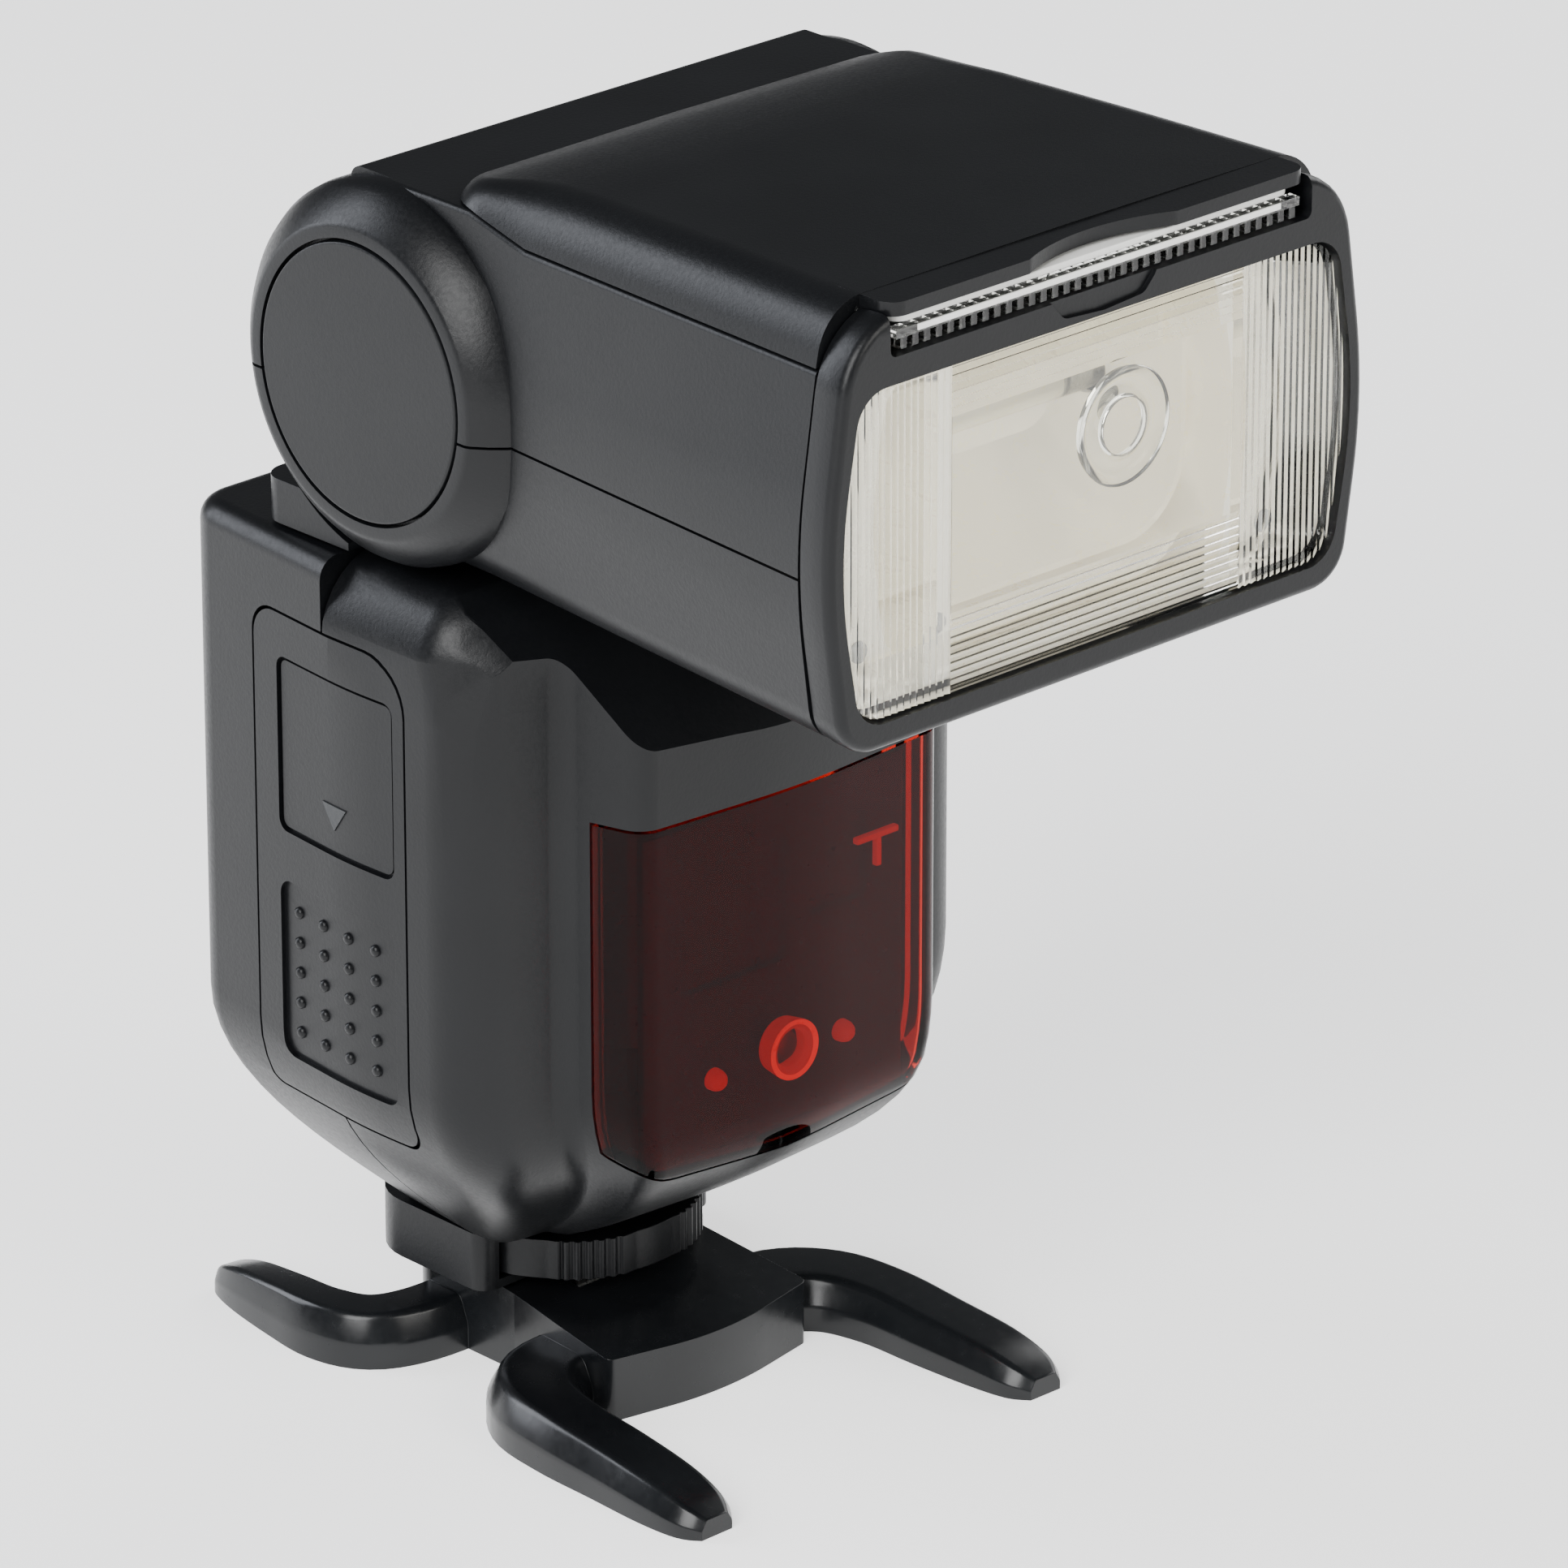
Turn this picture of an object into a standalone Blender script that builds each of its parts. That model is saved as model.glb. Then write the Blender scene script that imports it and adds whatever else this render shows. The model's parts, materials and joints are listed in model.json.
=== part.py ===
"""Hot-shoe speedlight flash standing in its mini stand.

Frame: +Z up, the flash head faces -Y, +X is to the right of someone who looks at the lens's back.
The origin lies on the swivel axis, on the surface the stand rests on. Lengths below are millimetres.
"""
import math

import bmesh
import bpy
from mathutils import Matrix, Vector

MM = 0.001
GAP = 0.3                      # clearance between neighbouring pieces

# Axes
AXIS_Z = 121.4                 # tilt axis, above the table
FOOT_Y = 10.5                  # centre of foot and lock ring, behind the swivel axis

# Body
BODY_BOTTOM = 17.0
BODY_TOP = 99.8
BODY_HALF = 36.9               # half of the width
BODY_REAR = 31.5
NOSE_FRONT = -27.9
NOSE_HALF = 21.4
WALL = 2.0
PARTING_Y = 7.0                # plane where front and rear shells meet
BOWL_Y = 8.0                   # centre that the bottom bowl shrinks towards
BROW = (((-6.5, BODY_TOP), 22), ((-10.5, 98.2), 44))   # planes that slope the top down over the nose

# Battery door, signal window and rear panel
DOOR = dict(y0=-5.6, y1=19.2, z0=36.0, z1=91.5)
WINDOW_TOP = 74.4
WINDOW_BOTTOM = 32.6
WINDOW_SIDE_Y = -19.8
LCD = dict(half=24.0, z0=68.5, z1=92.5)
PORT = dict(y0=-7.0, y1=4.4, z0=56.0, z1=77.0)
DIAL_Z = 47.5
DIAL_RADIUS = 10.0
FUNCTION_X = (-18.0, -6.0, 6.0, 18.0)
FUNCTION_Z = 62.5
SIDE_BUTTONS = {"mode_button": (-20.5, 52.0), "test_button": (20.5, 52.0)}
SWITCH = dict(x=20.0, z=42.6)
BUTTON_TRAVEL = 0.8            # also how far the buttons stand out

# Head
HEAD_HALF = 38.0               # half of the width at the bowed sides
BOW = 0.55                     # what the rounding of the side's middle takes off
HEAD_FRONT = -70.5
HEAD_BOTTOM = 100.2
SHELL_FRONT = -65.8
SEAM_Z = 119.0
HUB_RADIUS = 20.7
HUB_FACE = 37.0
DRUM_RADIUS = 18.8
DRUM_HALF = 20.2
CAP_RADIUS = 15.0
LENS = dict(half=33.1, bow=36.2, z0=103.4, z1=138.2)
SLOT_HALF = 29.5
SLOT_Z = 141.4
COVER_TOP = 146.8
COVER_REAR = -6.8

# Zoom drive
ROD_X, ROD_Z = 26.0, 108.0
SCREW_X, SCREW_Z = 27.8, 128.0

# Foot and stand
FOOT_PLATE = dict(half=9.3, length=18.0, z0=6.5, z1=8.5)
RING_RADIUS = 15.2
RING_Z = (11.3, 15.9)
STAND_PLATE = 7.2
STAND_SHOE = 9.7               # top of the shoe, which the plate slopes up to

for old in list(bpy.data.objects):
    bpy.data.objects.remove(old, do_unlink=True)
PARTS = bpy.data.collections.new("speedlight_flash")
CUTTERS = bpy.data.collections.new("cutters")
for group in (PARTS, CUTTERS):
    bpy.context.scene.collection.children.link(group)


# ---------------------------------------------------------------- materials
def finish(name, colour, roughness, metallic=0.0, clear=False):
    """A Principled material; clear ones let light through."""
    mat = bpy.data.materials.new(name)
    mat.use_nodes = True
    shader = mat.node_tree.nodes["Principled BSDF"]
    shader.inputs["Base Color"].default_value = (*colour, 1.0)
    shader.inputs["Roughness"].default_value = roughness
    shader.inputs["Metallic"].default_value = metallic
    shader.inputs["Transmission Weight"].default_value = 0.9 if clear else 0.0
    mat.diffuse_color = (*colour, 1.0)
    return mat


BLACK = finish("satin_black_abs", (0.020, 0.022, 0.025), 0.42)
GLOSS = finish("gloss_black_plastic", (0.010, 0.011, 0.013), 0.20)
DARK = finish("dark_grey_plastic", (0.045, 0.047, 0.050), 0.50)
CLEAR = finish("clear_acrylic", (0.92, 0.92, 0.86), 0.06, clear=True)
RED = finish("dark_red_acrylic", (0.060, 0.004, 0.005), 0.07, clear=True)
CREAM = finish("reflector_film", (0.86, 0.83, 0.72), 0.22, 0.6)
STEEL = finish("plated_steel", (0.56, 0.56, 0.55), 0.28, 1.0)
BRASS = finish("turned_brass", (0.62, 0.47, 0.20), 0.30, 1.0)
WHITE = finish("white_plastic", (0.80, 0.80, 0.78), 0.45)
BOARD = finish("circuit_board", (0.02, 0.16, 0.07), 0.45)
RUBBER = finish("black_rubber", (0.014, 0.014, 0.015), 0.75)


# ---------------------------------------------------------------- mesh helpers
def place(name, bm, look=None, pivot=(0, 0, 0)):
    """Makes an object of a bmesh drawn in millimetres: a part with a look, or else a cutter."""
    bmesh.ops.recalc_face_normals(bm, faces=bm.faces)
    bmesh.ops.translate(bm, vec=-Vector(pivot), verts=bm.verts)
    bmesh.ops.scale(bm, vec=(MM, MM, MM), verts=bm.verts)
    mesh = bpy.data.meshes.new(name)
    bm.to_mesh(mesh)
    bm.free()
    obj = bpy.data.objects.new(name, mesh)
    obj.location = Vector(pivot) * MM
    if look is None:
        CUTTERS.objects.link(obj)
        obj.hide_render = True
        obj.display_type = "WIRE"
    else:
        PARTS.objects.link(obj)
        mesh.materials.append(look)
        mesh.shade_smooth()
        mesh.set_sharp_from_angle(angle=math.radians(35))
    return obj


def boolean(obj, tool, operation):
    mod = obj.modifiers.new(operation.lower() + "_" + tool.name, "BOOLEAN")
    mod.operation = operation
    mod.solver = "EXACT"
    mod.object = tool
    return obj


def cut(obj, *tools):
    for tool in tools:
        boolean(obj, tool, "DIFFERENCE")
    return obj


def join(obj, *tools):
    for tool in tools:
        boolean(obj, tool, "UNION")
    return obj


def keep(obj, tool):
    return boolean(obj, tool, "INTERSECT")


def soften(obj, width, segments=2, angle=40):
    mod = obj.modifiers.new("soften", "BEVEL")
    mod.width = width * MM
    mod.segments = segments
    mod.limit_method = "ANGLE"
    mod.angle_limit = math.radians(angle)
    return obj


def block(x, y, z):
    """A box between two values on each axis."""
    bm = bmesh.new()
    bmesh.ops.create_cube(bm, size=1.0)
    size = Vector((x[1] - x[0], y[1] - y[0], z[1] - z[0]))
    centre = Vector((x[1] + x[0], y[1] + y[0], z[1] + z[0])) / 2
    bmesh.ops.scale(bm, vec=size, verts=bm.verts)
    bmesh.ops.translate(bm, vec=centre, verts=bm.verts)
    return bm


AIM = {"x": Matrix.Rotation(math.pi / 2, 3, "Y"), "y": Matrix.Rotation(-math.pi / 2, 3, "X"),
       "z": Matrix.Identity(3)}


def rod(axis, start, length, radius, end_radius=None, sides=32):
    """A cylinder or cone that starts at a point and runs along +axis."""
    bm = bmesh.new()
    bmesh.ops.create_cone(bm, cap_ends=True, segments=sides, radius1=radius,
                          radius2=radius if end_radius is None else end_radius, depth=length)
    bmesh.ops.translate(bm, vec=(0, 0, length / 2), verts=bm.verts)
    bmesh.ops.rotate(bm, matrix=AIM[axis], verts=bm.verts)
    bmesh.ops.translate(bm, vec=start, verts=bm.verts)
    return bm


def rounded(corners, steps=3):
    """A closed outline of (u, v, radius) corners, each rounded by an arc."""
    points = []
    count = len(corners)
    for i, (u, v, radius) in enumerate(corners):
        here = Vector((u, v))
        back = (Vector(corners[i - 1][:2]) - here)
        ahead = (Vector(corners[(i + 1) % count][:2]) - here)
        half = back.angle(ahead) / 2
        if radius <= 0 or abs(half - math.pi / 2) < 1e-3:
            points.append(here)
            continue
        shares = [0.49 if corners[k % count][2] > 0 else 0.95 for k in (i - 1, i + 1)]
        reach = min(radius / math.tan(half), back.length * shares[0], ahead.length * shares[1])
        radius = reach * math.tan(half)
        start, end = here + back.normalized() * reach, here + ahead.normalized() * reach
        middle = here + (back.normalized() + ahead.normalized()).normalized() * radius / math.sin(half)
        first, last = start - middle, end - middle
        sweep = first.angle_signed(last)
        for k in range(steps + 1):
            turn = Matrix.Rotation(-sweep * k / steps, 2)
            points.append(middle + turn @ first)
    return points


def mirrored(half):
    """Corners of a whole outline from those with u >= 0; corners on u = 0 aren't doubled."""
    return half + [(-u, v, r) for u, v, r in reversed(half) if abs(u) > 1e-6]


def inset(outline, distance):
    """The outline moved inwards by a distance."""
    area = sum(a.x * b.y - b.x * a.y for a, b in zip(outline, outline[1:] + outline[:1]))
    side = 1 if area > 0 else -1
    moved = []
    for i, here in enumerate(outline):
        a = (here - outline[i - 1]).normalized()
        b = (outline[(i + 1) % len(outline)] - here).normalized()
        na, nb = Vector((-a.y, a.x)) * side, Vector((-b.y, b.x)) * side
        mean = (na + nb).normalized()
        moved.append(here + mean * distance / max(mean.dot(na), 0.5))
    return moved


def loft(rings):
    """A closed solid through rings of equally many 3-D points."""
    bm = bmesh.new()
    rows = [[bm.verts.new(p) for p in ring] for ring in rings]
    count = len(rows[0])
    for low, high in zip(rows, rows[1:]):
        for i in range(count):
            j = (i + 1) % count
            bm.faces.new((low[i], low[j], high[j], high[i]))
    bm.faces.new(list(reversed(rows[0])))
    bm.faces.new(rows[-1])
    return bm


def slab(axis, outline, low, high):
    """An outline swept straight along one axis; u, v are the two other axes in x, y, z order."""
    lift = {"x": lambda p, t: (t, p.x, p.y), "y": lambda p, t: (p.x, t, p.y),
            "z": lambda p, t: (p.x, p.y, t)}[axis]
    return loft([[lift(p, t) for p in outline] for t in (low, high)])


def turned(axis, centre, profile, sides=48):
    """A solid of revolution: (distance along the axis, radius) pairs, ends closed on the axis."""
    rings = []
    for along, radius in profile:
        ring = []
        for k in range(sides):
            a = 2 * math.pi * k / sides
            p = AIM[axis] @ Vector((radius * math.cos(a), radius * math.sin(a), along))
            ring.append(p + Vector(centre))
        rings.append(ring)
    return loft(rings)


# ---------------------------------------------------------------- body
def body_plan():
    """Plan outline of the body: bowed nose in front, round shoulders, slightly bulged sides."""
    half = [(0, NOSE_FRONT, 90), (NOSE_HALF, -25.6, 3.2), (24.2, -16.4, 3.0), (36.2, -14.6, 8.5),
            (BODY_HALF, 3.0, 60), (34.2, BODY_REAR, 5.0)]
    return rounded(mirrored(half))


def body_ring(plan, z, shrink=0.0):
    """The body's section at height z, shrinking to a bowl towards the foot."""
    side = min(max((z - BODY_BOTTOM) / 27.0, 0.0), 1.0)
    front = min(max((z - BODY_BOTTOM) / 21.0, 0.0), 1.0)
    k = 0.47 + 0.53 * math.sin(side * math.pi / 2)
    k_front = 0.28 + 0.72 * math.sin(front * math.pi / 2)
    ring = []
    for p in inset(plan, shrink) if shrink else plan:
        y = BOWL_Y + (p.y - BOWL_Y) * (k_front if p.y < BOWL_Y else k)
        ring.append((p.x * k, y, z))
    return ring


def slice_off(bm, point, normal):
    """Cuts away what lies beyond a plane and closes the cut."""
    geometry = bm.verts[:] + bm.edges[:] + bm.faces[:]
    cut_line = bmesh.ops.bisect_plane(bm, geom=geometry, plane_co=point, plane_no=normal, clear_outer=True)
    rim = [e for e in cut_line["geom_cut"] if isinstance(e, bmesh.types.BMEdge)]
    bmesh.ops.holes_fill(bm, edges=rim, sides=0)


def body_solid(wall=0.0):
    """The body's outer solid, or the solid left inside a wall."""
    plan = body_plan()
    if wall:
        plan = inset(plan, wall)
    low, high, edge = BODY_BOTTOM + wall, BODY_TOP - wall, 2.4
    heights = [low + (44.0 - low) * t for t in (0, 0.1, 0.24, 0.42, 0.66, 1)] + [high - edge]
    rings = [body_ring(plan, z) for z in heights]
    for turn in (45, 90):
        a = math.radians(turn)
        rings.append(body_ring(plan, high - edge + edge * math.sin(a), edge * (1 - math.cos(a))))
    bm = loft(rings)
    for point, tilt in BROW:
        normal = Vector((0, -math.sin(math.radians(tilt)), math.cos(math.radians(tilt))))
        slice_off(bm, Vector((0, *point)) - normal * wall, normal)
    return bm


def window_outline(extra=0.0):
    half = [(0, WINDOW_TOP + extra, 0), (24.4, WINDOW_TOP + extra, 0), (24.0, WINDOW_BOTTOM + 1.4 - extra, 9),
            (0, WINDOW_BOTTOM - extra, 60)]
    return rounded(mirrored(half), 5)


def door_box(margin=0.0):
    return block((-50, -30), (DOOR["y0"] - margin, DOOR["y1"] + margin),
                 (DOOR["z0"] - margin, DOOR["z1"] + margin))


def port_box(margin=0.0):
    return block((30, 50), (PORT["y0"] - margin, PORT["y1"] + margin),
                 (PORT["z0"] - margin, PORT["z1"] + margin))


def oblong(x, z, half_x, half_z, radius, steps=3):
    """Outline of a rectangle with rounded corners."""
    return rounded([(x - half_x, z - half_z, radius), (x + half_x, z - half_z, radius),
                    (x + half_x, z + half_z, radius), (x - half_x, z + half_z, radius)], steps)


def pill(x, margin, low, high):
    """A function button, or the hole for it when given a margin."""
    return slab("y", oblong(x, FUNCTION_Z, 4.0 + margin, 1.9 + margin, 1.8), low, high)


def make_body():
    hollow = place("body_hollow", body_solid(WALL))
    door_hole = place("door_hole", door_box(GAP))
    front = place("body_front_shell", body_solid(), BLACK)
    cut(front, hollow, place("behind_parting", block((-60, 60), (PARTING_Y - GAP / 2, 60), (0, 130))))
    cut(front, door_hole, place("port_hole", port_box(GAP)))
    cut(front, place("window_hole", slab("y", window_outline(GAP), -60, WINDOW_SIDE_Y + GAP)))
    swivel_hole = place("swivel_hole", rod("z", (0, 0, 80), 40, 6.4))
    cut(front, swivel_hole)

    rear = place("body_rear_shell", body_solid(), BLACK)
    cut(rear, hollow, door_hole)
    cut(rear, place("before_parting", block((-60, 60), (-60, PARTING_Y + GAP / 2), (0, 130))))
    through = (BODY_REAR - 4, BODY_REAR + 4)
    cut(rear, place("lcd_hole", block((-LCD["half"] - GAP, LCD["half"] + GAP), through,
                                      (LCD["z0"] - GAP, LCD["z1"] + GAP))))
    cut(rear, place("dial_hole", rod("y", (0, through[0], DIAL_Z), 8, DIAL_RADIUS + GAP, sides=40)))
    for i, x in enumerate(FUNCTION_X):
        cut(rear, place(f"function_hole_{i + 1}", pill(x, GAP, *through)))
    for name, (x, z) in SIDE_BUTTONS.items():
        cut(rear, place(name + "_hole", rod("y", (x, through[0], z), 8, 3.1 + GAP, sides=24)))
    cut(rear, place("switch_hole", block((SWITCH["x"] - 5.0, SWITCH["x"] + 5.0), through,
                                         (SWITCH["z"] - 2.0, SWITCH["z"] + 2.0))))
    cut(rear, swivel_hole)

    door = place("battery_door", body_solid(), BLACK, (-35.4, DOOR["y1"] + 0.1, 63.0))
    keep(door, place("door_extent", door_box()))
    cut(door, place("door_inside", body_solid(1.9)))
    for name, z in (("push_recess", 76.9), ("grip_recess", 51.2)):
        cut(door, place(name, slab("x", oblong(5.6, z, 9.6, 9.9, 1.0, 2), -50, -36.1)))

    port = place("port_cover", body_solid(), RUBBER, (36.9, PORT["y1"] + 0.1, 66.5))
    keep(port, place("port_extent", port_box()))
    cut(port, place("port_inside", body_solid(1.9)))

    window = place("signal_window", body_solid(), RED)
    keep(window, place("window_extent", slab("y", window_outline(), -60, WINDOW_SIDE_Y)))
    cut(window, place("window_inside", body_solid(1.6)))


def make_signal_group():
    """What sits behind the dark red window: tray, ring lens and two lamps."""
    place("sensor_tray", block((-18.4, 18.4), (-22.4, -21.2), (40.0, 72.0)), DARK)
    lens = place("assist_lens", rod("y", (0, -25.1, 43.8), 2.4, 3.4, sides=24), CLEAR)
    cut(lens, place("assist_lens_bore", rod("y", (0, -26.5, 43.8), 2.2, 1.5, sides=20)))
    for side, x in (("left", -9.2), ("right", 9.2)):
        place(f"assist_led_{side}", rod("y", (x, -24.5, 42.4), 1.8, 1.2, 1.3, sides=16), RED)


def make_rear_panel():
    depth = (BODY_REAR - 1.4, BODY_REAR + 0.1)
    place("lcd_window", block((-LCD["half"], LCD["half"]), depth, (LCD["z0"], LCD["z1"])), GLOSS)
    place("lcd_module", block((-25.5, 25.5), (24.0, 27.4), (67.0, 94.0)), DARK)
    rear = BODY_REAR + BUTTON_TRAVEL
    for i, x in enumerate(FUNCTION_X):
        pivot = (x, BODY_REAR, FUNCTION_Z)
        place(f"function_button_{i + 1}", pill(x, 0, 26.5, rear), DARK, pivot)
    for name, (x, z) in SIDE_BUTTONS.items():
        place(name, rod("y", (x, 26.5, z), rear - 26.5, 3.1, sides=24), DARK, (x, BODY_REAR, z))
    knob = place("power_switch", block((SWITCH["x"] - 4.6, SWITCH["x"] - 0.4), (27.4, rear + 0.2),
                                       (SWITCH["z"] - 1.6, SWITCH["z"] + 1.6)), DARK,
                 (SWITCH["x"] - 2.5, BODY_REAR, SWITCH["z"]))
    soften(knob, 0.4)
    dial = place("control_dial", turned("y", (0, 28.2, DIAL_Z), [(0, DIAL_RADIUS), (4.0, DIAL_RADIUS),
                                                                   (4.9, DIAL_RADIUS - 1.0)]), DARK,
                 (0, BODY_REAR, DIAL_Z))
    cut(dial, place("dial_bore", rod("y", (0, 26, DIAL_Z), 10, 5.0)))
    place("set_button", turned("y", (0, 27.0, DIAL_Z), [(0, 4.6), (5.0, 4.6), (5.6, 3.9)], 32), DARK,
          (0, BODY_REAR, DIAL_Z))


def make_electronics():
    pack = place("battery_pack", block((-32.4, 26.0), (-4.0, 17.0), (39.5, 89.5)), DARK)
    soften(pack, 1.0)
    place("battery_latch", block((-32.0, -25.0), (2.6, 7.4), (90.3, 92.0)), WHITE, (-28.5, 5.0, 91.0))
    place("main_board", block((-29.0, 29.0), (18.4, 20.0), (42.0, 92.0)), BOARD)
    place("main_capacitor", rod("z", (-9.2, -12.6, 46.0), 30.0, 7.8), GLOSS)
    place("oscillation_transformer", block((3.0, 16.5), (-19.6, -5.4), (48.0, 63.0)), DARK)
    place("trigger_coil", rod("x", (3.6, -12.0, 69.4), 12.0, 4.2, sides=24), BRASS)


# ---------------------------------------------------------------- neck
def make_neck():
    neck = place("neck_yoke", rod("x", (-DRUM_HALF, 0, AXIS_Z), 2 * DRUM_HALF, DRUM_RADIUS, sides=56), BLACK,
                 (0, 0, AXIS_Z))
    wedge = rounded([(-33.5, 6.0, 0), (33.5, 6.0, 0), (33.5, 20.0, 3.0), (-33.5, 20.0, 3.0)], 2)
    base = place("neck_base", slab("z", wedge, 100.3, 105.2))
    around = place("hub_clearance", rod("x", (-40, 0, AXIS_Z), 80, HUB_RADIUS + 0.4, sides=56))
    web = place("neck_web", block((-16.0, 16.0), (-8.4, 12.0), (100.3, 108.0)))
    stem = place("neck_stem", rod("z", (0, 0, 91.5), 14.0, 6.0))
    cut(base, around)
    join(neck, base, web, stem)
    cut(neck, place("drum_hollow", rod("x", (-17.0, 0, AXIS_Z), 34.0, 15.6, sides=40)))
    cut(neck, place("axle_bore", rod("x", (-30, 0, AXIS_Z), 60, 4.3)))
    cut(neck, place("cable_bore", rod("z", (0, 0, 85), 30, 3.6)))
    washer = place("swivel_washer", rod("z", (0, 0, 94.4), 1.6, 7.8, sides=24), STEEL)
    cut(washer, place("washer_bore", rod("z", (0, 0, 90), 12, 6.3, sides=24)))
    for side, sign in (("left", -1), ("right", 1)):
        start = 17.3 if sign > 0 else -23.3
        axle = place(f"tilt_axle_{side}", rod("x", (start, 0, AXIS_Z), 6.0, 4.0), STEEL, (0, 0, AXIS_Z))
        head = place(f"axle_head_{side}", rod("x", (23.1 if sign > 0 else -25.4, 0, AXIS_Z), 2.3, 6.2))
        join(axle, head)


# ---------------------------------------------------------------- head
def shell_top(y):
    """Top of the head shell, which rises to the hub behind the drawer."""
    return 140.2 + 1.9 * min(max((y + 21.0) / 9.0, 0.0), 1.0)


def head_ring(y, margin=0.0):
    """Head section at y, front corners flaring out; margin moves it inwards."""
    t = min(max((-10.0 - y) / 58.0, 0.0), 1.0)
    top = shell_top(y)
    w_top, w_mid, w_low = 32.3 + 2.9 * t, 33.4 + 4.9 * t, 31.0 + 4.6 * t
    low = 101.0 - 0.5 * t
    half = [(0, low, 0), (w_low, low, 5.0), (w_mid, AXIS_Z - 1, 60), (w_top, top, 0.6 + margin),
            (0, top, 0)]
    outline = rounded(mirrored(half))
    if margin:
        outline = inset(outline, margin)
    return [(p.x, y, p.y) for p in outline]


def head_solid():
    stations = (SHELL_FRONT, -56.0, -44.0, -32.0, -21.0, -16.5, -12.0, 0.0)
    return loft([head_ring(y) for y in stations])


def hub_profile():
    return [(-HUB_FACE, 17.0), (-33.2, HUB_RADIUS), (33.2, HUB_RADIUS), (HUB_FACE, 17.0)]


def make_head_shells():
    hub = place("hub_solid", turned("x", (0, 0, AXIS_Z), hub_profile(), 64))
    roof_top = AXIS_Z + HUB_RADIUS
    roof = place("hub_roof", slab("x", rounded([(-12.0, 128.0, 0), (6.0, 128.0, 0), (7.2, roof_top, 1.2),
                                                (-12.0, roof_top, 0)]), -31.4, 31.4))
    cavity = loft([head_ring(y, 1.8) for y in (-80.0, -56.0, -44.0, -32.0, -20.0, -12.0)])
    cavity = place("head_cavity", cavity)
    tools = [cavity]
    tools.append(place("drum_pocket", rod("x", (-DRUM_HALF - 0.4, 0, AXIS_Z), 2 * DRUM_HALF + 0.8,
                                          DRUM_RADIUS + 0.3, sides=56)))
    for side, x in (("left", -34.2), ("right", 22.8)):
        tools.append(place(f"hub_pocket_{side}", rod("x", (x, 0, AXIS_Z), 11.4, 18.4, sides=56)))
    for side, x in (("left", -HUB_FACE - 1), ("right", HUB_FACE - 1.4)):
        tools.append(place(f"cap_recess_{side}", rod("x", (x, 0, AXIS_Z), 2.4, CAP_RADIUS + 0.3, sides=56)))
    tools.append(place("hub_bore", rod("x", (-30, 0, AXIS_Z), 60, 4.3)))
    slot_half = DRUM_HALF + 0.4
    tools.append(place("slot_below", block((-slot_half, slot_half), (-9.3, 30), (90, AXIS_Z))))
    tools.append(place("slot_behind", block((-slot_half, slot_half), (10.3, 30), (AXIS_Z - 1, 150))))
    for name, z in (("head_upper_shell", (0, SEAM_Z + GAP / 2)),
                    ("head_lower_shell", (SEAM_Z - GAP / 2, 200))):
        shell = place(name, head_solid(), BLACK, (0, 0, AXIS_Z))
        join(shell, hub, roof)
        cut(shell, *tools)
        cut(shell, place(name + "_other_half", block((-60, 60), (-90, 60), z)))
    lower = bpy.data.objects["head_lower_shell"]
    for side, x in (("left", -21.0), ("right", 21.0)):
        cut(lower, place(f"head_screw_hole_{side}", rod("z", (x, -54.0, 95), 12, 2.1, sides=20)))
        place(f"head_screw_{side}", rod("z", (x, -54.0, 100.9), 3.2, 1.8, sides=16), STEEL)
    for side, x in (("left", -HUB_FACE - 0.1), ("right", HUB_FACE - 1.1)):
        place(f"hinge_cap_{side}", rod("x", (x, 0, AXIS_Z), 1.2, CAP_RADIUS, sides=56), BLACK, (0, 0, AXIS_Z))


def cover_ring(y, top):
    """Cover section at y; its rear corners are rounded in plan."""
    t = min(max((-10.0 - y) / 58.0, 0.0), 1.0)
    past = min(max(y + 13.3, 0.0), 6.3)
    wide = 32.3 + 2.9 * t - (6.5 - math.sqrt(6.5 ** 2 - past ** 2))
    floor = shell_top(y) + GAP
    half = [(0, floor, 0), (wide, floor, 0), (wide - 1.2, top, 6.0), (0, top + 0.2, 0)]
    return [(p.x, y, p.y) for p in rounded(mirrored(half))]


def make_cover():
    """Raised top cover: the drawer for panel and card, with a scooped visor over the slot."""
    tops = ((SHELL_FRONT, COVER_TOP), (-45.0, 146.6), (-26.0, 146.2), (-21.0, 145.9), (-16.5, 145.4),
            (-12.0, 144.7), (-9.5, 144.1), (-7.8, 143.6), (COVER_REAR, 143.1))
    cover = place("top_cover", loft([cover_ring(y, top) for y, top in tops]), BLACK, (0, 0, AXIS_Z))
    visor = place("visor", block((-29.2, 29.2), (HEAD_FRONT + 0.2, SHELL_FRONT + 3), (145.3, COVER_TOP)))
    join(cover, visor)
    cut(cover, place("scoop", rod("z", (0, HEAD_FRONT - 22.0, 140), 12, 24.5, sides=72)))
    cut(cover, place("drawer", block((-29.0, 29.0), (-90, -20.5), (139, 145.2))))


def lens_outline(margin=0.0):
    half, low, high = LENS["half"] + margin, LENS["z0"] - margin, LENS["z1"] + margin
    bow = LENS["bow"] + margin
    return rounded(mirrored([(0, low, 0), (half, low, 4), (bow, AXIS_Z - 0.9, 60), (half, high, 4), (0, high, 0)]))


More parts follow.
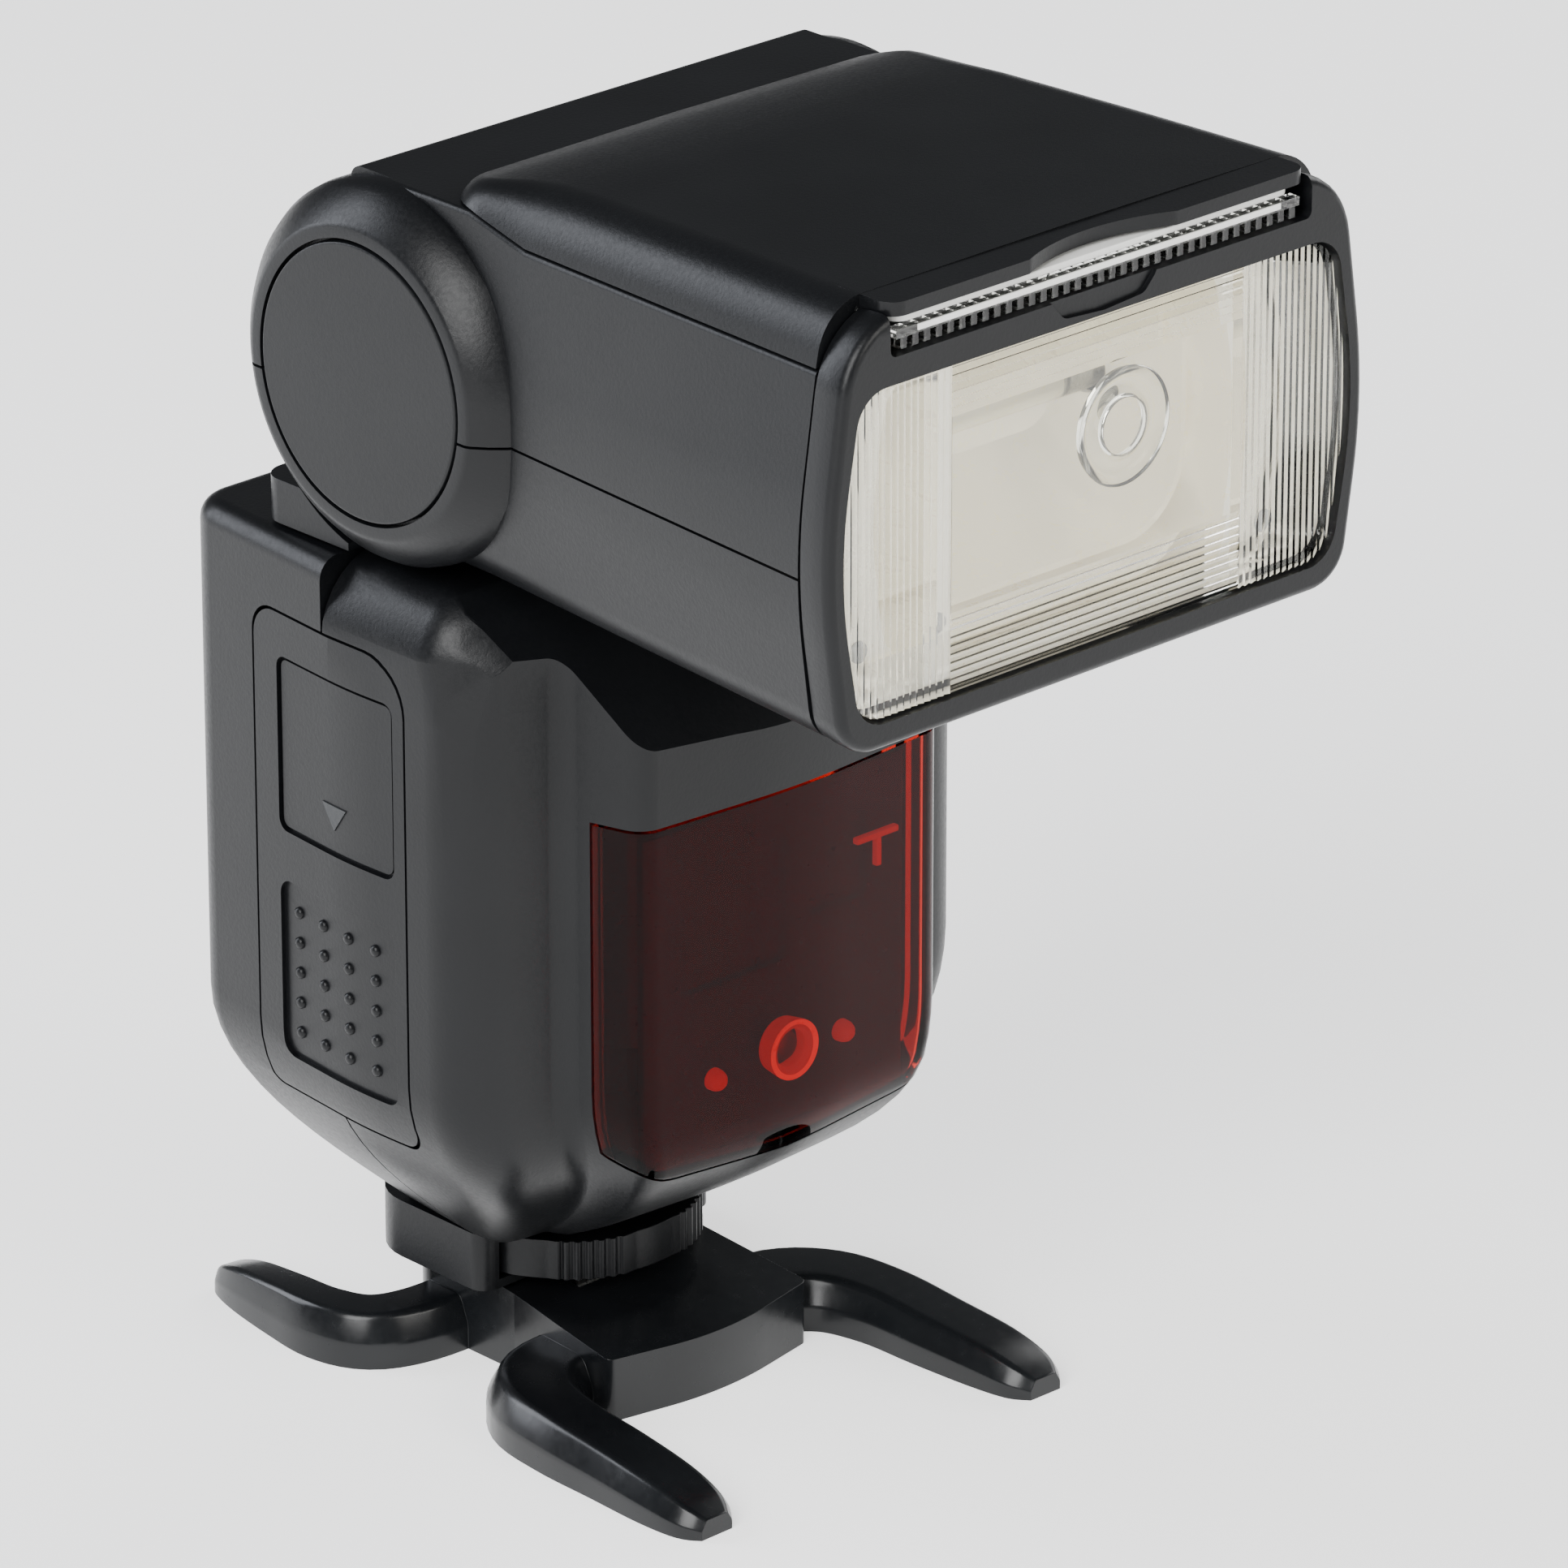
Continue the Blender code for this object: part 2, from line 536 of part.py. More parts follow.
def make_bezel():
    def ring(y, margin):
        half = [(0, HEAD_BOTTOM, 0), (35.4, HEAD_BOTTOM, 5.0), (HEAD_HALF + BOW, AXIS_Z - 1, 60),
                (34.6, 146.2, 9.0), (0, 146.2, 0)]
        return [(p.x, y, p.y) for p in inset(rounded(mirrored(half)), margin)]
    front = HEAD_FRONT
    rings = [ring(SHELL_FRONT - GAP, 0.3), ring(front + 1.2, 0.0), ring(front + 0.3, 0.4), ring(front, 1.0)]
    bezel = place("front_bezel", loft(rings), BLACK)
    cut(bezel, place("lens_opening", slab("y", lens_outline(GAP), -80, -60)))
    cut(bezel, place("slot_opening", block((-SLOT_HALF, SLOT_HALF), (-80, -60), (SLOT_Z, 160))))
    place("fresnel_lens", slab("y", lens_outline(), -69.9, -67.2), CLEAR)


def make_panels():
    panel = place("wide_panel", block((-28.2, 28.2), (-68.6, -22.0), (141.6, 142.8)), CLEAR, (0, -45, 142))
    join(panel, place("panel_lip", block((-28.2, 28.2), (-70.0, -68.2), (141.6, 143.9))))
    place("bounce_card", block((-27.6, 27.6), (-69.4, -22.6), (144.2, 144.9)), WHITE, (0, -45, 144.5))


def make_zoom():
    """Reflector and xenon tube on a carriage that a lead screw moves along two rods."""
    centre = 121.2

    def bowl(y, half_x, half_z):
        return [(p.x, y, p.y) for p in oblong(0, centre, half_x, half_z, half_z * 0.6)]

    outer = ((-58.0, 23.2, 14.4), (-52.0, 22.6, 13.0), (-46.0, 21.8, 10.6), (-42.0, 20.8, 7.6),
             (-40.6, 19.8, 5.0))
    reflector = place("reflector", loft([bowl(*s) for s in outer]), CREAM, (0, -49, centre))
    inner = [(-59.0, 22.4, 13.4)] + [(y, x - 1.1, z - 1.1) for y, x, z in outer[1:4]] + [(-41.9, 18.9, 5.2)]
    cut(reflector, place("reflector_bowl", loft([bowl(*s) for s in inner])))
    cut(reflector, place("tube_holes", rod("x", (-40, -45.4, centre), 80, 2.9, sides=24)))
    place("flash_tube", rod("x", (-25.0, -45.4, centre), 50.0, 2.4, sides=24), CLEAR, (0, -45.4, centre))
    carriage = place("zoom_carriage", block((-30.0, 30.0), (-40.2, -37.4), (104.4, 136.4)), DARK,
                     (0, -39, centre))
    soften(carriage, 2.0)
    holes = [(-ROD_X, ROD_Z, 1.6), (ROD_X, ROD_Z, 1.6), (SCREW_X, SCREW_Z, 1.55)]
    for i, (x, z, r) in enumerate(holes):
        cut(carriage, place(f"carriage_hole_{i + 1}", rod("y", (x, -45, z), 12, r, sides=20)))
    for side, x in (("left", -ROD_X), ("right", ROD_X)):
        place(f"guide_rod_{side}", rod("y", (x, -64.6, ROD_Z), 42.6, 1.25, sides=16), STEEL)
    place("lead_screw", rod("y", (SCREW_X, -49.6, SCREW_Z), 27.6, 1.25, sides=16), STEEL,
          (SCREW_X, -36, SCREW_Z))
    place("zoom_motor", rod("y", (SCREW_X, -64.0, SCREW_Z), 14.1, 4.0, sides=28), STEEL)


# ---------------------------------------------------------------- foot and stand
def make_foot():
    plan = rounded([(-17, 5.0, 2), (17, 5.0, 2), (17, 25.2, 7), (-17, 25.2, 7)])
    housing = place("foot_housing", slab("z", plan, 10.0, 16.7), BLACK)
    cut(housing, place("ring_channel", rod("z", (0, FOOT_Y, 11.0), 5.2, RING_RADIUS + 0.4, sides=64)))
    join(housing, place("foot_hub", rod("z", (0, FOOT_Y, 10.2), 6.3, 8.0)))
    pin_y = FOOT_Y - 5.6
    pin_bore = place("pin_bore", rod("z", (0, pin_y, 3.0), 12.4, 1.3, sides=16))
    cut(housing, pin_bore)

    y0 = FOOT_Y - 9.0
    half = FOOT_PLATE["half"]
    plate = place("foot_plate", block((-half, half), (y0, y0 + FOOT_PLATE["length"]),
                                      (FOOT_PLATE["z0"], FOOT_PLATE["z1"])), STEEL)
    join(plate, place("foot_neck", block((-6.1, 6.1), (y0 + 0.5, y0 + 17.0), (7.5, 9.7))))
    window = place("contact_window", block((-4.6, 4.6), (FOOT_Y - 3.4, FOOT_Y + 4.6), (0, 12)))
    cut(plate, window, pin_bore)
    contacts = place("contact_block", block((-4.3, 4.3), (FOOT_Y - 3.1, FOOT_Y + 4.3), (6.7, 9.6)), GLOSS)
    for i, (x, y) in enumerate(((0, 0), (-2.4, 2.6), (2.4, 2.6), (-2.4, -1.6), (2.4, -1.6))):
        join(contacts, place(f"contact_pin_{i + 1}", rod("z", (x, FOOT_Y + y, 6.35), 1.2, 0.75, sides=12)))
    for side, x in (("left", -7.4), ("right", 7.4)):
        cut(plate, place(f"foot_screw_hole_{side}", rod("z", (x, FOOT_Y + 6.4, 4), 8, 1.4, sides=16)))
        place(f"foot_screw_{side}", rod("z", (x, FOOT_Y + 6.4, 6.6), 1.9, 1.1, sides=14), STEEL)
    place("lock_pin", rod("z", (0, pin_y, 6.6), 7.4, 1.0, sides=16), STEEL, (0, pin_y, 10.0))

    ring = []
    ribs, lobes = 72, 6
    for k in range(ribs * 2):
        a = math.pi * k / ribs
        lobe = math.cos(lobes * a)
        ripple = -0.22 if k % 2 and lobe > 0.1 else 0.0
        radius = RING_RADIUS - 0.35 + 0.30 * min(max(lobe * 2, -1), 1) + ripple
        ring.append(Vector((radius * math.cos(a), FOOT_Y + radius * math.sin(a))))
    wheel = place("lock_ring", slab("z", ring, *RING_Z), BLACK, (0, FOOT_Y, 13.6))
    cut(wheel, place("ring_bore", rod("z", (0, FOOT_Y, 8), 12, 8.4)))


def leg(path):
    """A leg from (x, y, width, height) stations: flat underneath, narrower on top."""
    rings = []
    for i, (x, y, width, height) in enumerate(path):
        before, after = path[max(i - 1, 0)], path[min(i + 1, len(path) - 1)]
        along = Vector((after[0] - before[0], after[1] - before[1])).normalized()
        across = Vector((-along.y, along.x))
        right = [(0.5, 0), (0.5, 0.45), (0.36, 0.9), (0.22, 1.0)]
        profile = right + [(-u, v) for u, v in reversed(right)]
        rings.append([(x + across.x * u * width, y + across.y * u * width, v * height) for u, v in profile])
    return loft(rings)


def make_stand():
    plan = rounded(mirrored([(0, -15.2, 60), (14.6, -12.4, 1), (13.4, 4.0, 3), (13.4, 21.4, 4), (0, 21.4, 0)]))
    plate = slab("z", plan, 0, STAND_SHOE)
    slope = Vector((0, -(STAND_SHOE - STAND_PLATE), 22.0)).normalized()
    slice_off(plate, Vector((0, -14.0, STAND_PLATE)), slope)
    stand = place("stand_base", plate, GLOSS)
    front = [(10.0, -4.0, 10.6, 6.2), (17.0, -4.6, 11.2, 6.2), (21.6, -9.0, 10.4, 6.2),
             (23.3, -16.0, 9.4, 6.0), (23.6, -24.0, 9.2, 5.4), (24.0, -32.0, 8.8, 4.6),
             (24.2, -37.2, 7.4, 3.4), (24.2, -39.6, 4.4, 2.2)]
    rear = [(9.0, 15.5, 8.0, 6.2), (17.0, 15.8, 8.0, 6.2), (22.0, 17.8, 7.8, 6.2), (24.0, 22.5, 7.2, 6.2),
            (23.8, 29.0, 6.4, 5.8), (23.0, 36.0, 5.6, 4.8), (22.4, 40.4, 4.2, 3.4), (22.2, 42.0, 2.4, 2.2)]
    for end, path in (("front", front), ("rear", rear)):
        for side, sign in (("left", -1), ("right", 1)):
            join(stand, place(f"leg_{end}_{side}", leg([(x * sign, y, w, h) for x, y, w, h in path])))
    cut(stand, place("shoe_slot", block((-9.7, 9.7), (1.0, 40), (6.0, 8.8))))
    cut(stand, place("shoe_mouth", block((-6.6, 6.6), (1.0, 40), (6.5, 12))))
    cut(stand, place("pin_groove", block((-1.6, 1.6), (3.0, 40), (4.6, 8))))
    cut(stand, place("thread_hole", rod("z", (0, FOOT_Y, -2), 5.8, 4.9)))
    insert = place("stand_insert", rod("z", (0, FOOT_Y, 0.2), 3.2, 4.6), BRASS)
    cut(insert, place("insert_bore", rod("z", (0, FOOT_Y, -2), 10, 2.6)))


make_stand()
make_foot()
make_body()
make_signal_group()
make_rear_panel()
make_electronics()
make_neck()
make_head_shells()
make_cover()
make_bezel()
make_panels()
make_zoom()
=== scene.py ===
"""A hot-shoe speedlight flash in its mini stand: moulded shells, lens, window, controls and foot."""

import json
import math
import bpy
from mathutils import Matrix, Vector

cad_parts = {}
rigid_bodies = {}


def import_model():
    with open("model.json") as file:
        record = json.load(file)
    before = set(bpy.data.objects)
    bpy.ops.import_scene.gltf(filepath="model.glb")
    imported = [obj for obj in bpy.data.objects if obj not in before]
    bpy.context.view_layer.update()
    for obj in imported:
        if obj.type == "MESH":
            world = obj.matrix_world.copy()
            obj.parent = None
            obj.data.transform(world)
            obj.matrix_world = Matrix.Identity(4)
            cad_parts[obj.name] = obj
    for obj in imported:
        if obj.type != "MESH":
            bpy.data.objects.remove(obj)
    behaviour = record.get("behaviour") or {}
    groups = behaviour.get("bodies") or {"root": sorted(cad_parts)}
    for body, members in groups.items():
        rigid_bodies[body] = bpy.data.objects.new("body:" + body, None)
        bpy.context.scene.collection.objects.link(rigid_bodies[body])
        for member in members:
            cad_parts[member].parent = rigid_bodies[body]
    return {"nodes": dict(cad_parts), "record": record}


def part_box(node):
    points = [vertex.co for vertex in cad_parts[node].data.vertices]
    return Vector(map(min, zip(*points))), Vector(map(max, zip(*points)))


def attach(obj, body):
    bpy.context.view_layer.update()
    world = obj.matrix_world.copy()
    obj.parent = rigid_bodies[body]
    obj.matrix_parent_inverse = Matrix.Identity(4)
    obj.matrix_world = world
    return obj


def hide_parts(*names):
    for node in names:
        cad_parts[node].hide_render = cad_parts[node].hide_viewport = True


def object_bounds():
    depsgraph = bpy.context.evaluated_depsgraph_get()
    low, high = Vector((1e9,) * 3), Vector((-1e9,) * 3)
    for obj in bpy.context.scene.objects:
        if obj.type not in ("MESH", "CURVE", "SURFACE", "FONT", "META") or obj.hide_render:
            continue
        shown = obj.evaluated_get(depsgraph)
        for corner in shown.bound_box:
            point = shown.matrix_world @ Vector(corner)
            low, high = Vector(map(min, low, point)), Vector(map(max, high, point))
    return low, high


bl_info = {
    "name": "Speedlight Flash",
    "version": (1, 0, 0),
    "blender": (4, 5, 0),
    "location": "View3D > Sidebar > Flash",
    "description": "Builds a hot-shoe flash with its mini stand, piece by piece, on its measured frame",
    "category": "Add Mesh",
}

import bmesh
import bpy
from bpy.props import FloatProperty, PointerProperty, StringProperty
from mathutils import Matrix, Vector

for left_over in list(bpy.data.objects):
    bpy.data.objects.remove(left_over, do_unlink=True)
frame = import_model()
CAD_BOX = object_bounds()
NODES = frame["nodes"]

MM = 0.001                      # pieces are drawn in millimetres and placed in metres
GAP = 0.3                       # parting gap between moulded pieces


def top_of(node):
    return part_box(node)[1] / MM


def low_of(node):
    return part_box(node)[0] / MM


AXIS_Z = (top_of("hinge_cap_left").z + low_of("hinge_cap_left").z) / 2      # tilt axis
BODY_TOP = top_of("body_rear_shell").z
BODY_BOTTOM = low_of("body_rear_shell").z
BODY_REAR = top_of("body_rear_shell").y
NOSE_FRONT = low_of("body_front_shell").y
HEAD_FRONT = low_of("front_bezel").y
HEAD_BOTTOM = low_of("front_bezel").z
PARTING_Y = 7.0                 # plane where the front and rear shells meet
SEAM_Z = 119.0                  # level where the head shells meet
WINDOW_SIDE_Y = -19.8           # rear edge of the signal window on the nose's flanks
RING_CENTRE = (low_of("lock_ring") + top_of("lock_ring")) / 2
DIAL_Z = (low_of("control_dial").z + top_of("control_dial").z) / 2


# ------------------------------------------------------------------ shapes
AIM = {"x": Matrix.Rotation(math.pi / 2, 3, "Y"), "y": Matrix.Rotation(-math.pi / 2, 3, "X"),
       "z": Matrix.Identity(3)}
LIFT = {"x": lambda u, v, t: Vector((t, u, v)), "y": lambda u, v, t: Vector((u, t, v)),
        "z": lambda u, v, t: Vector((u, v, t))}


def rounded(corners, steps=8):
    """A closed outline from (u, v, radius) corners."""
    points, count = [], len(corners)
    for i, (u, v, radius) in enumerate(corners):
        here = Vector((u, v))
        back, ahead = Vector(corners[i - 1][:2]) - here, Vector(corners[(i + 1) % count][:2]) - here
        half = back.angle(ahead) / 2
        if radius <= 0 or abs(half - math.pi / 2) < 1e-3:
            points.append(here)
            continue
        shares = [0.49 if corners[k % count][2] > 0 else 0.95 for k in (i - 1, i + 1)]
        reach = min(radius / math.tan(half), back.length * shares[0], ahead.length * shares[1])
        start, end = here + back.normalized() * reach, here + ahead.normalized() * reach
        radius = reach * math.tan(half)
        middle = here + (back.normalized() + ahead.normalized()).normalized() * radius / math.sin(half)
        sweep = (start - middle).angle_signed(end - middle)
        for k in range(steps + 1):
            points.append(middle + Matrix.Rotation(-sweep * k / steps, 2) @ (start - middle))
    return points


def both_sides(half):
    """The whole outline from its corners at u >= 0."""
    return half + [(-u, v, r) for u, v, r in reversed(half) if abs(u) > 1e-6]


def oblong(u, v, half_u, half_v, radius, steps=6):
    return rounded([(u - half_u, v - half_v, radius), (u + half_u, v - half_v, radius),
                    (u + half_u, v + half_v, radius), (u - half_u, v + half_v, radius)], steps)


def inset(outline, distance):
    area = sum(a.x * b.y - b.x * a.y for a, b in zip(outline, outline[1:] + outline[:1]))
    side, moved = (1 if area > 0 else -1), []
    for i, here in enumerate(outline):
        a = (here - outline[i - 1]).normalized()
        b = (outline[(i + 1) % len(outline)] - here).normalized()
        na, nb = Vector((-a.y, a.x)) * side, Vector((-b.y, b.x)) * side
        mean = (na + nb).normalized()
        moved.append(here + mean * distance / max(mean.dot(na), 0.5))
    return moved


def loft(rings, close=True):
    """Bridges rings of points into a skin, and closes its ends."""
    bm, loops = bmesh.new(), []
    for ring in rings:
        verts = [bm.verts.new(p) for p in ring]
        loops.append([bm.edges.new(pair) for pair in zip(verts, verts[1:] + verts[:1])])
    for low, high in zip(loops, loops[1:]):
        bmesh.ops.bridge_loops(bm, edges=low + high)
    if close:
        bmesh.ops.holes_fill(bm, edges=loops[0] + loops[-1], sides=0)
    return bm


def slab(axis, outline, low, high):
    """An outline extruded straight along an axis."""
    bm = bmesh.new()
    face = bm.faces.new([bm.verts.new(LIFT[axis](p[0], p[1], low)) for p in outline])
    grown = bmesh.ops.extrude_face_region(bm, geom=[face])["geom"]
    moved = [g for g in grown if isinstance(g, bmesh.types.BMVert)]
    bmesh.ops.translate(bm, vec=LIFT[axis](0, 0, high - low), verts=moved)
    bmesh.ops.holes_fill(bm, edges=[e for e in bm.edges if e.is_boundary], sides=0)
    return bm


def box(x, y, z):
    bm = bmesh.new()
    bmesh.ops.create_cube(bm, size=1.0)
    bmesh.ops.scale(bm, vec=(x[1] - x[0], y[1] - y[0], z[1] - z[0]), verts=bm.verts)
    bmesh.ops.translate(bm, vec=((x[0] + x[1]) / 2, (y[0] + y[1]) / 2, (z[0] + z[1]) / 2), verts=bm.verts)
    return bm


def turned(axis, centre, profile, sides=72, ring=False):
    """Spins (distance along the axis, radius) points into a solid; a ring's profile closes on itself."""
    bm = bmesh.new()
    verts = [bm.verts.new((radius, 0, along)) for along, radius in profile]
    edges = [bm.edges.new(pair) for pair in zip(verts, verts[1:])]
    if ring:
        edges.append(bm.edges.new((verts[-1], verts[0])))
    bmesh.ops.spin(bm, geom=verts + edges, axis=(0, 0, 1), cent=(0, 0, 0), angle=math.tau, steps=sides,
                   use_merge=True)
    bmesh.ops.remove_doubles(bm, verts=bm.verts, dist=0.001)
    bmesh.ops.rotate(bm, matrix=AIM[axis], verts=bm.verts)
    bmesh.ops.translate(bm, vec=centre, verts=bm.verts)
    bmesh.ops.recalc_face_normals(bm, faces=bm.faces)
    return bm


def rod(axis, centre, radius, low, high, sides=72):
    """A plain round bar from low to high along an axis."""
    return turned(axis, centre, [(low, 0), (low, radius), (high, radius), (high, 0)], sides)


def gather(*shapes):
    """Puts several shapes into one mesh, without joining their skins."""
    whole = shapes[0]
    for shape in shapes[1:]:
        mesh = bpy.data.meshes.new("gathered")
        shape.to_mesh(mesh)
        whole.from_mesh(mesh)
        bpy.data.meshes.remove(mesh)
        shape.free()
    return whole


def raw_object(bm, name="workpiece"):
    bmesh.ops.recalc_face_normals(bm, faces=bm.faces)
    mesh = bpy.data.meshes.new(name)
    bm.to_mesh(mesh)
    bm.free()
    obj = bpy.data.objects.new(name, mesh)
    bpy.context.scene.collection.objects.link(obj)
    return obj


def shaped(bm, *steps):
    """Works a shape with ("DIFFERENCE" | "UNION" | "INTERSECT", tool) steps and gives the result."""
    obj, tools = raw_object(bm), []
    for operation, tool in steps:
        tools.append(raw_object(tool, "tool"))
        mod = obj.modifiers.new("step", "BOOLEAN")
        mod.operation, mod.solver, mod.object = operation, "EXACT", tools[-1]
    bpy.context.view_layer.update()
    worked = bpy.data.meshes.new_from_object(obj.evaluated_get(bpy.context.evaluated_depsgraph_get()))
    result = bmesh.new()
    result.from_mesh(worked)
    bpy.data.meshes.remove(worked)
    for used in (obj, *tools):
        mesh = used.data
        bpy.data.objects.remove(used)
        bpy.data.meshes.remove(mesh)
    bmesh.ops.remove_doubles(result, verts=result.verts, dist=0.002)
    bmesh.ops.dissolve_degenerate(result, dist=0.001, edges=result.edges)
    return result


def cut(bm, *tools):
    return shaped(bm, *[("DIFFERENCE", tool) for tool in tools])


def slice_off(bm, point, normal):
    """Cuts away what lies beyond a plane and closes the cut."""
    geometry = bm.verts[:] + bm.edges[:] + bm.faces[:]
    line = bmesh.ops.bisect_plane(bm, geom=geometry, plane_co=point, plane_no=normal, clear_outer=True)
    rim = [e for e in line["geom_cut"] if isinstance(e, bmesh.types.BMEdge)]
    if rim:
        bmesh.ops.holes_fill(bm, edges=rim, sides=0)


def piece(name, bm, look, body, stands_for=(), edge=0.0, segments=2, sharp=32, subdivide=0):
    """Turns a millimetre shape into a finished piece that rides on a body."""
    bmesh.ops.scale(bm, vec=(MM, MM, MM), verts=bm.verts)
    obj = raw_object(bm, name)
    obj.data.shade_smooth()
    obj.data.set_sharp_from_angle(angle=math.radians(sharp))
    obj.data.materials.append(look)
    if edge:
        mod = obj.modifiers.new("edges", "BEVEL")
        mod.width, mod.segments, mod.limit_method = edge * MM, segments, "ANGLE"
        mod.angle_limit, mod.harden_normals = math.radians(sharp), True
    if subdivide:
        mod = obj.modifiers.new("smooth", "SUBSURF")
        mod.levels = mod.render_levels = subdivide
    else:
        mod = obj.modifiers.new("even shading", "WEIGHTED_NORMAL")
        mod.keep_sharp = True
    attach(obj, body)
    if stands_for:
        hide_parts(*([stands_for] if isinstance(stands_for, str) else stands_for))
    return obj


# ------------------------------------------------------------------ finishes
def linear(code):
    """Turns an sRGB hex colour into linear light."""
    values = [int(code[i:i + 2], 16) / 255 for i in (1, 3, 5)]
    return (*[v / 12.92 if v <= 0.04045 else ((v + 0.055) / 1.055) ** 2.4 for v in values], 1.0)


def add_node(tree, kind, inputs=None, **settings):
    """Adds a node with its settings; an input is a value or the socket that feeds it."""
    made = tree.nodes.new("ShaderNode" + kind)
    for name, value in settings.items():
        setattr(made, name, value)
    for name, value in (inputs or {}).items():
        if isinstance(value, bpy.types.NodeSocket):
            tree.links.new(value, made.inputs[name])
        else:
            made.inputs[name].default_value = value
    return made


def blank(name, slot):
    mat = bpy.data.materials.new(name)
    mat.use_nodes = True
    mat["slot"] = slot
    return mat, mat.node_tree, mat.node_tree.nodes["Principled BSDF"]


def speckled(name, slot, dark, light, roughness, grain, depth, spread=0.05, drift=18.0, sheen=0.0,
             metallic=0.0, ior=1.5, shine=0.5):
    """A moulded or cast surface: grain of a size in millimetres, with slow drifts of tone and gloss."""
    mat, tree, shader = blank(name, slot)
    place = add_node(tree, "TexCoord").outputs["Object"]
    fine = add_node(tree, "TexNoise", {"Vector": place, "Scale": 1 / (grain * MM), "Detail": 3.0,
                                       "Roughness": 0.6})
    slow = add_node(tree, "TexNoise", {"Vector": place, "Scale": 1 / (drift * MM), "Detail": 2.0})
    blend = add_node(tree, "MapRange", {"Value": slow.outputs["Fac"], "From Min": 0.35, "From Max": 0.65})
    tone = add_node(tree, "Mix", {0: blend.outputs["Result"], 6: linear(dark), 7: linear(light)},
                    data_type="RGBA")
    fleck = add_node(tree, "Mix", {0: 0.10, 6: tone.outputs[2], 7: fine.outputs["Fac"]}, data_type="RGBA",
                     blend_type="OVERLAY")
    gloss = add_node(tree, "MapRange", {"Value": fine.outputs["Fac"], "From Min": 0.3, "From Max": 0.7,
                                        "To Min": roughness - spread, "To Max": roughness + spread})
    relief = add_node(tree, "Bump", {"Height": fine.outputs["Fac"], "Strength": 0.6, "Distance": depth * MM})
    tree.links.new(fleck.outputs[2], shader.inputs["Base Color"])
    tree.links.new(gloss.outputs["Result"], shader.inputs["Roughness"])
    tree.links.new(relief.outputs["Normal"], shader.inputs["Normal"])
    shader.inputs["Metallic"].default_value = metallic
    if not metallic:
        shader.inputs["IOR"].default_value = ior
        shader.inputs["Specular IOR Level"].default_value = shine
    shader.inputs["Sheen Weight"].default_value = sheen
    return mat


def clear(name, slot, colour, roughness, ior, ripple, through=1.0, shine=0.5):
    """A polished clear moulding: a faint flow ripple bends what is seen through it."""
    mat, tree, shader = blank(name, slot)
    place = add_node(tree, "TexCoord").outputs["Object"]
    flow = add_node(tree, "TexNoise", {"Vector": place, "Scale": 1 / (6 * MM), "Detail": 1.0})
    relief = add_node(tree, "Bump", {"Height": flow.outputs["Fac"], "Strength": 0.4, "Distance": ripple * MM})
    haze = add_node(tree, "MapRange", {"Value": flow.outputs["Fac"], "From Min": 0.3, "From Max": 0.7,
                                       "To Min": roughness * 0.6, "To Max": roughness * 1.4})
    tree.links.new(haze.outputs["Result"], shader.inputs["Roughness"])
    tree.links.new(relief.outputs["Normal"], shader.inputs["Normal"])
    shader.inputs["Base Color"].default_value = linear(colour)
    shader.inputs["Transmission Weight"].default_value = through
    shader.inputs["Specular IOR Level"].default_value = shine
    shader.inputs["IOR"].default_value = ior
    return mat


def brushed(name, slot, dark, light, roughness, line, axis, metallic=1.0):
    """Turned or drawn metal: fine tool lines across one axis, of a width in millimetres."""
    mat, tree, shader = blank(name, slot)
    place = add_node(tree, "TexCoord").outputs["Object"]
    stretch = [0.04 if a == axis else 1.0 for a in "xyz"]
    along = add_node(tree, "Mapping", {"Vector": place, "Scale": stretch})
    lines = add_node(tree, "TexNoise", {"Vector": along.outputs["Vector"], "Scale": 1 / (line * MM),
                                        "Detail": 2.0})
    tone = add_node(tree, "Mix", {0: lines.outputs["Fac"], 6: linear(dark), 7: linear(light)},
                    data_type="RGBA")
    gloss = add_node(tree, "MapRange", {"Value": lines.outputs["Fac"], "To Min": roughness - 0.08,
                                        "To Max": roughness + 0.08})
    relief = add_node(tree, "Bump", {"Height": lines.outputs["Fac"], "Strength": 0.5, "Distance": 0.01 * MM})
    tree.links.new(tone.outputs[2], shader.inputs["Base Color"])
    tree.links.new(gloss.outputs["Result"], shader.inputs["Roughness"])
    tree.links.new(relief.outputs["Normal"], shader.inputs["Normal"])
    shader.inputs["Metallic"].default_value = metallic
    return mat


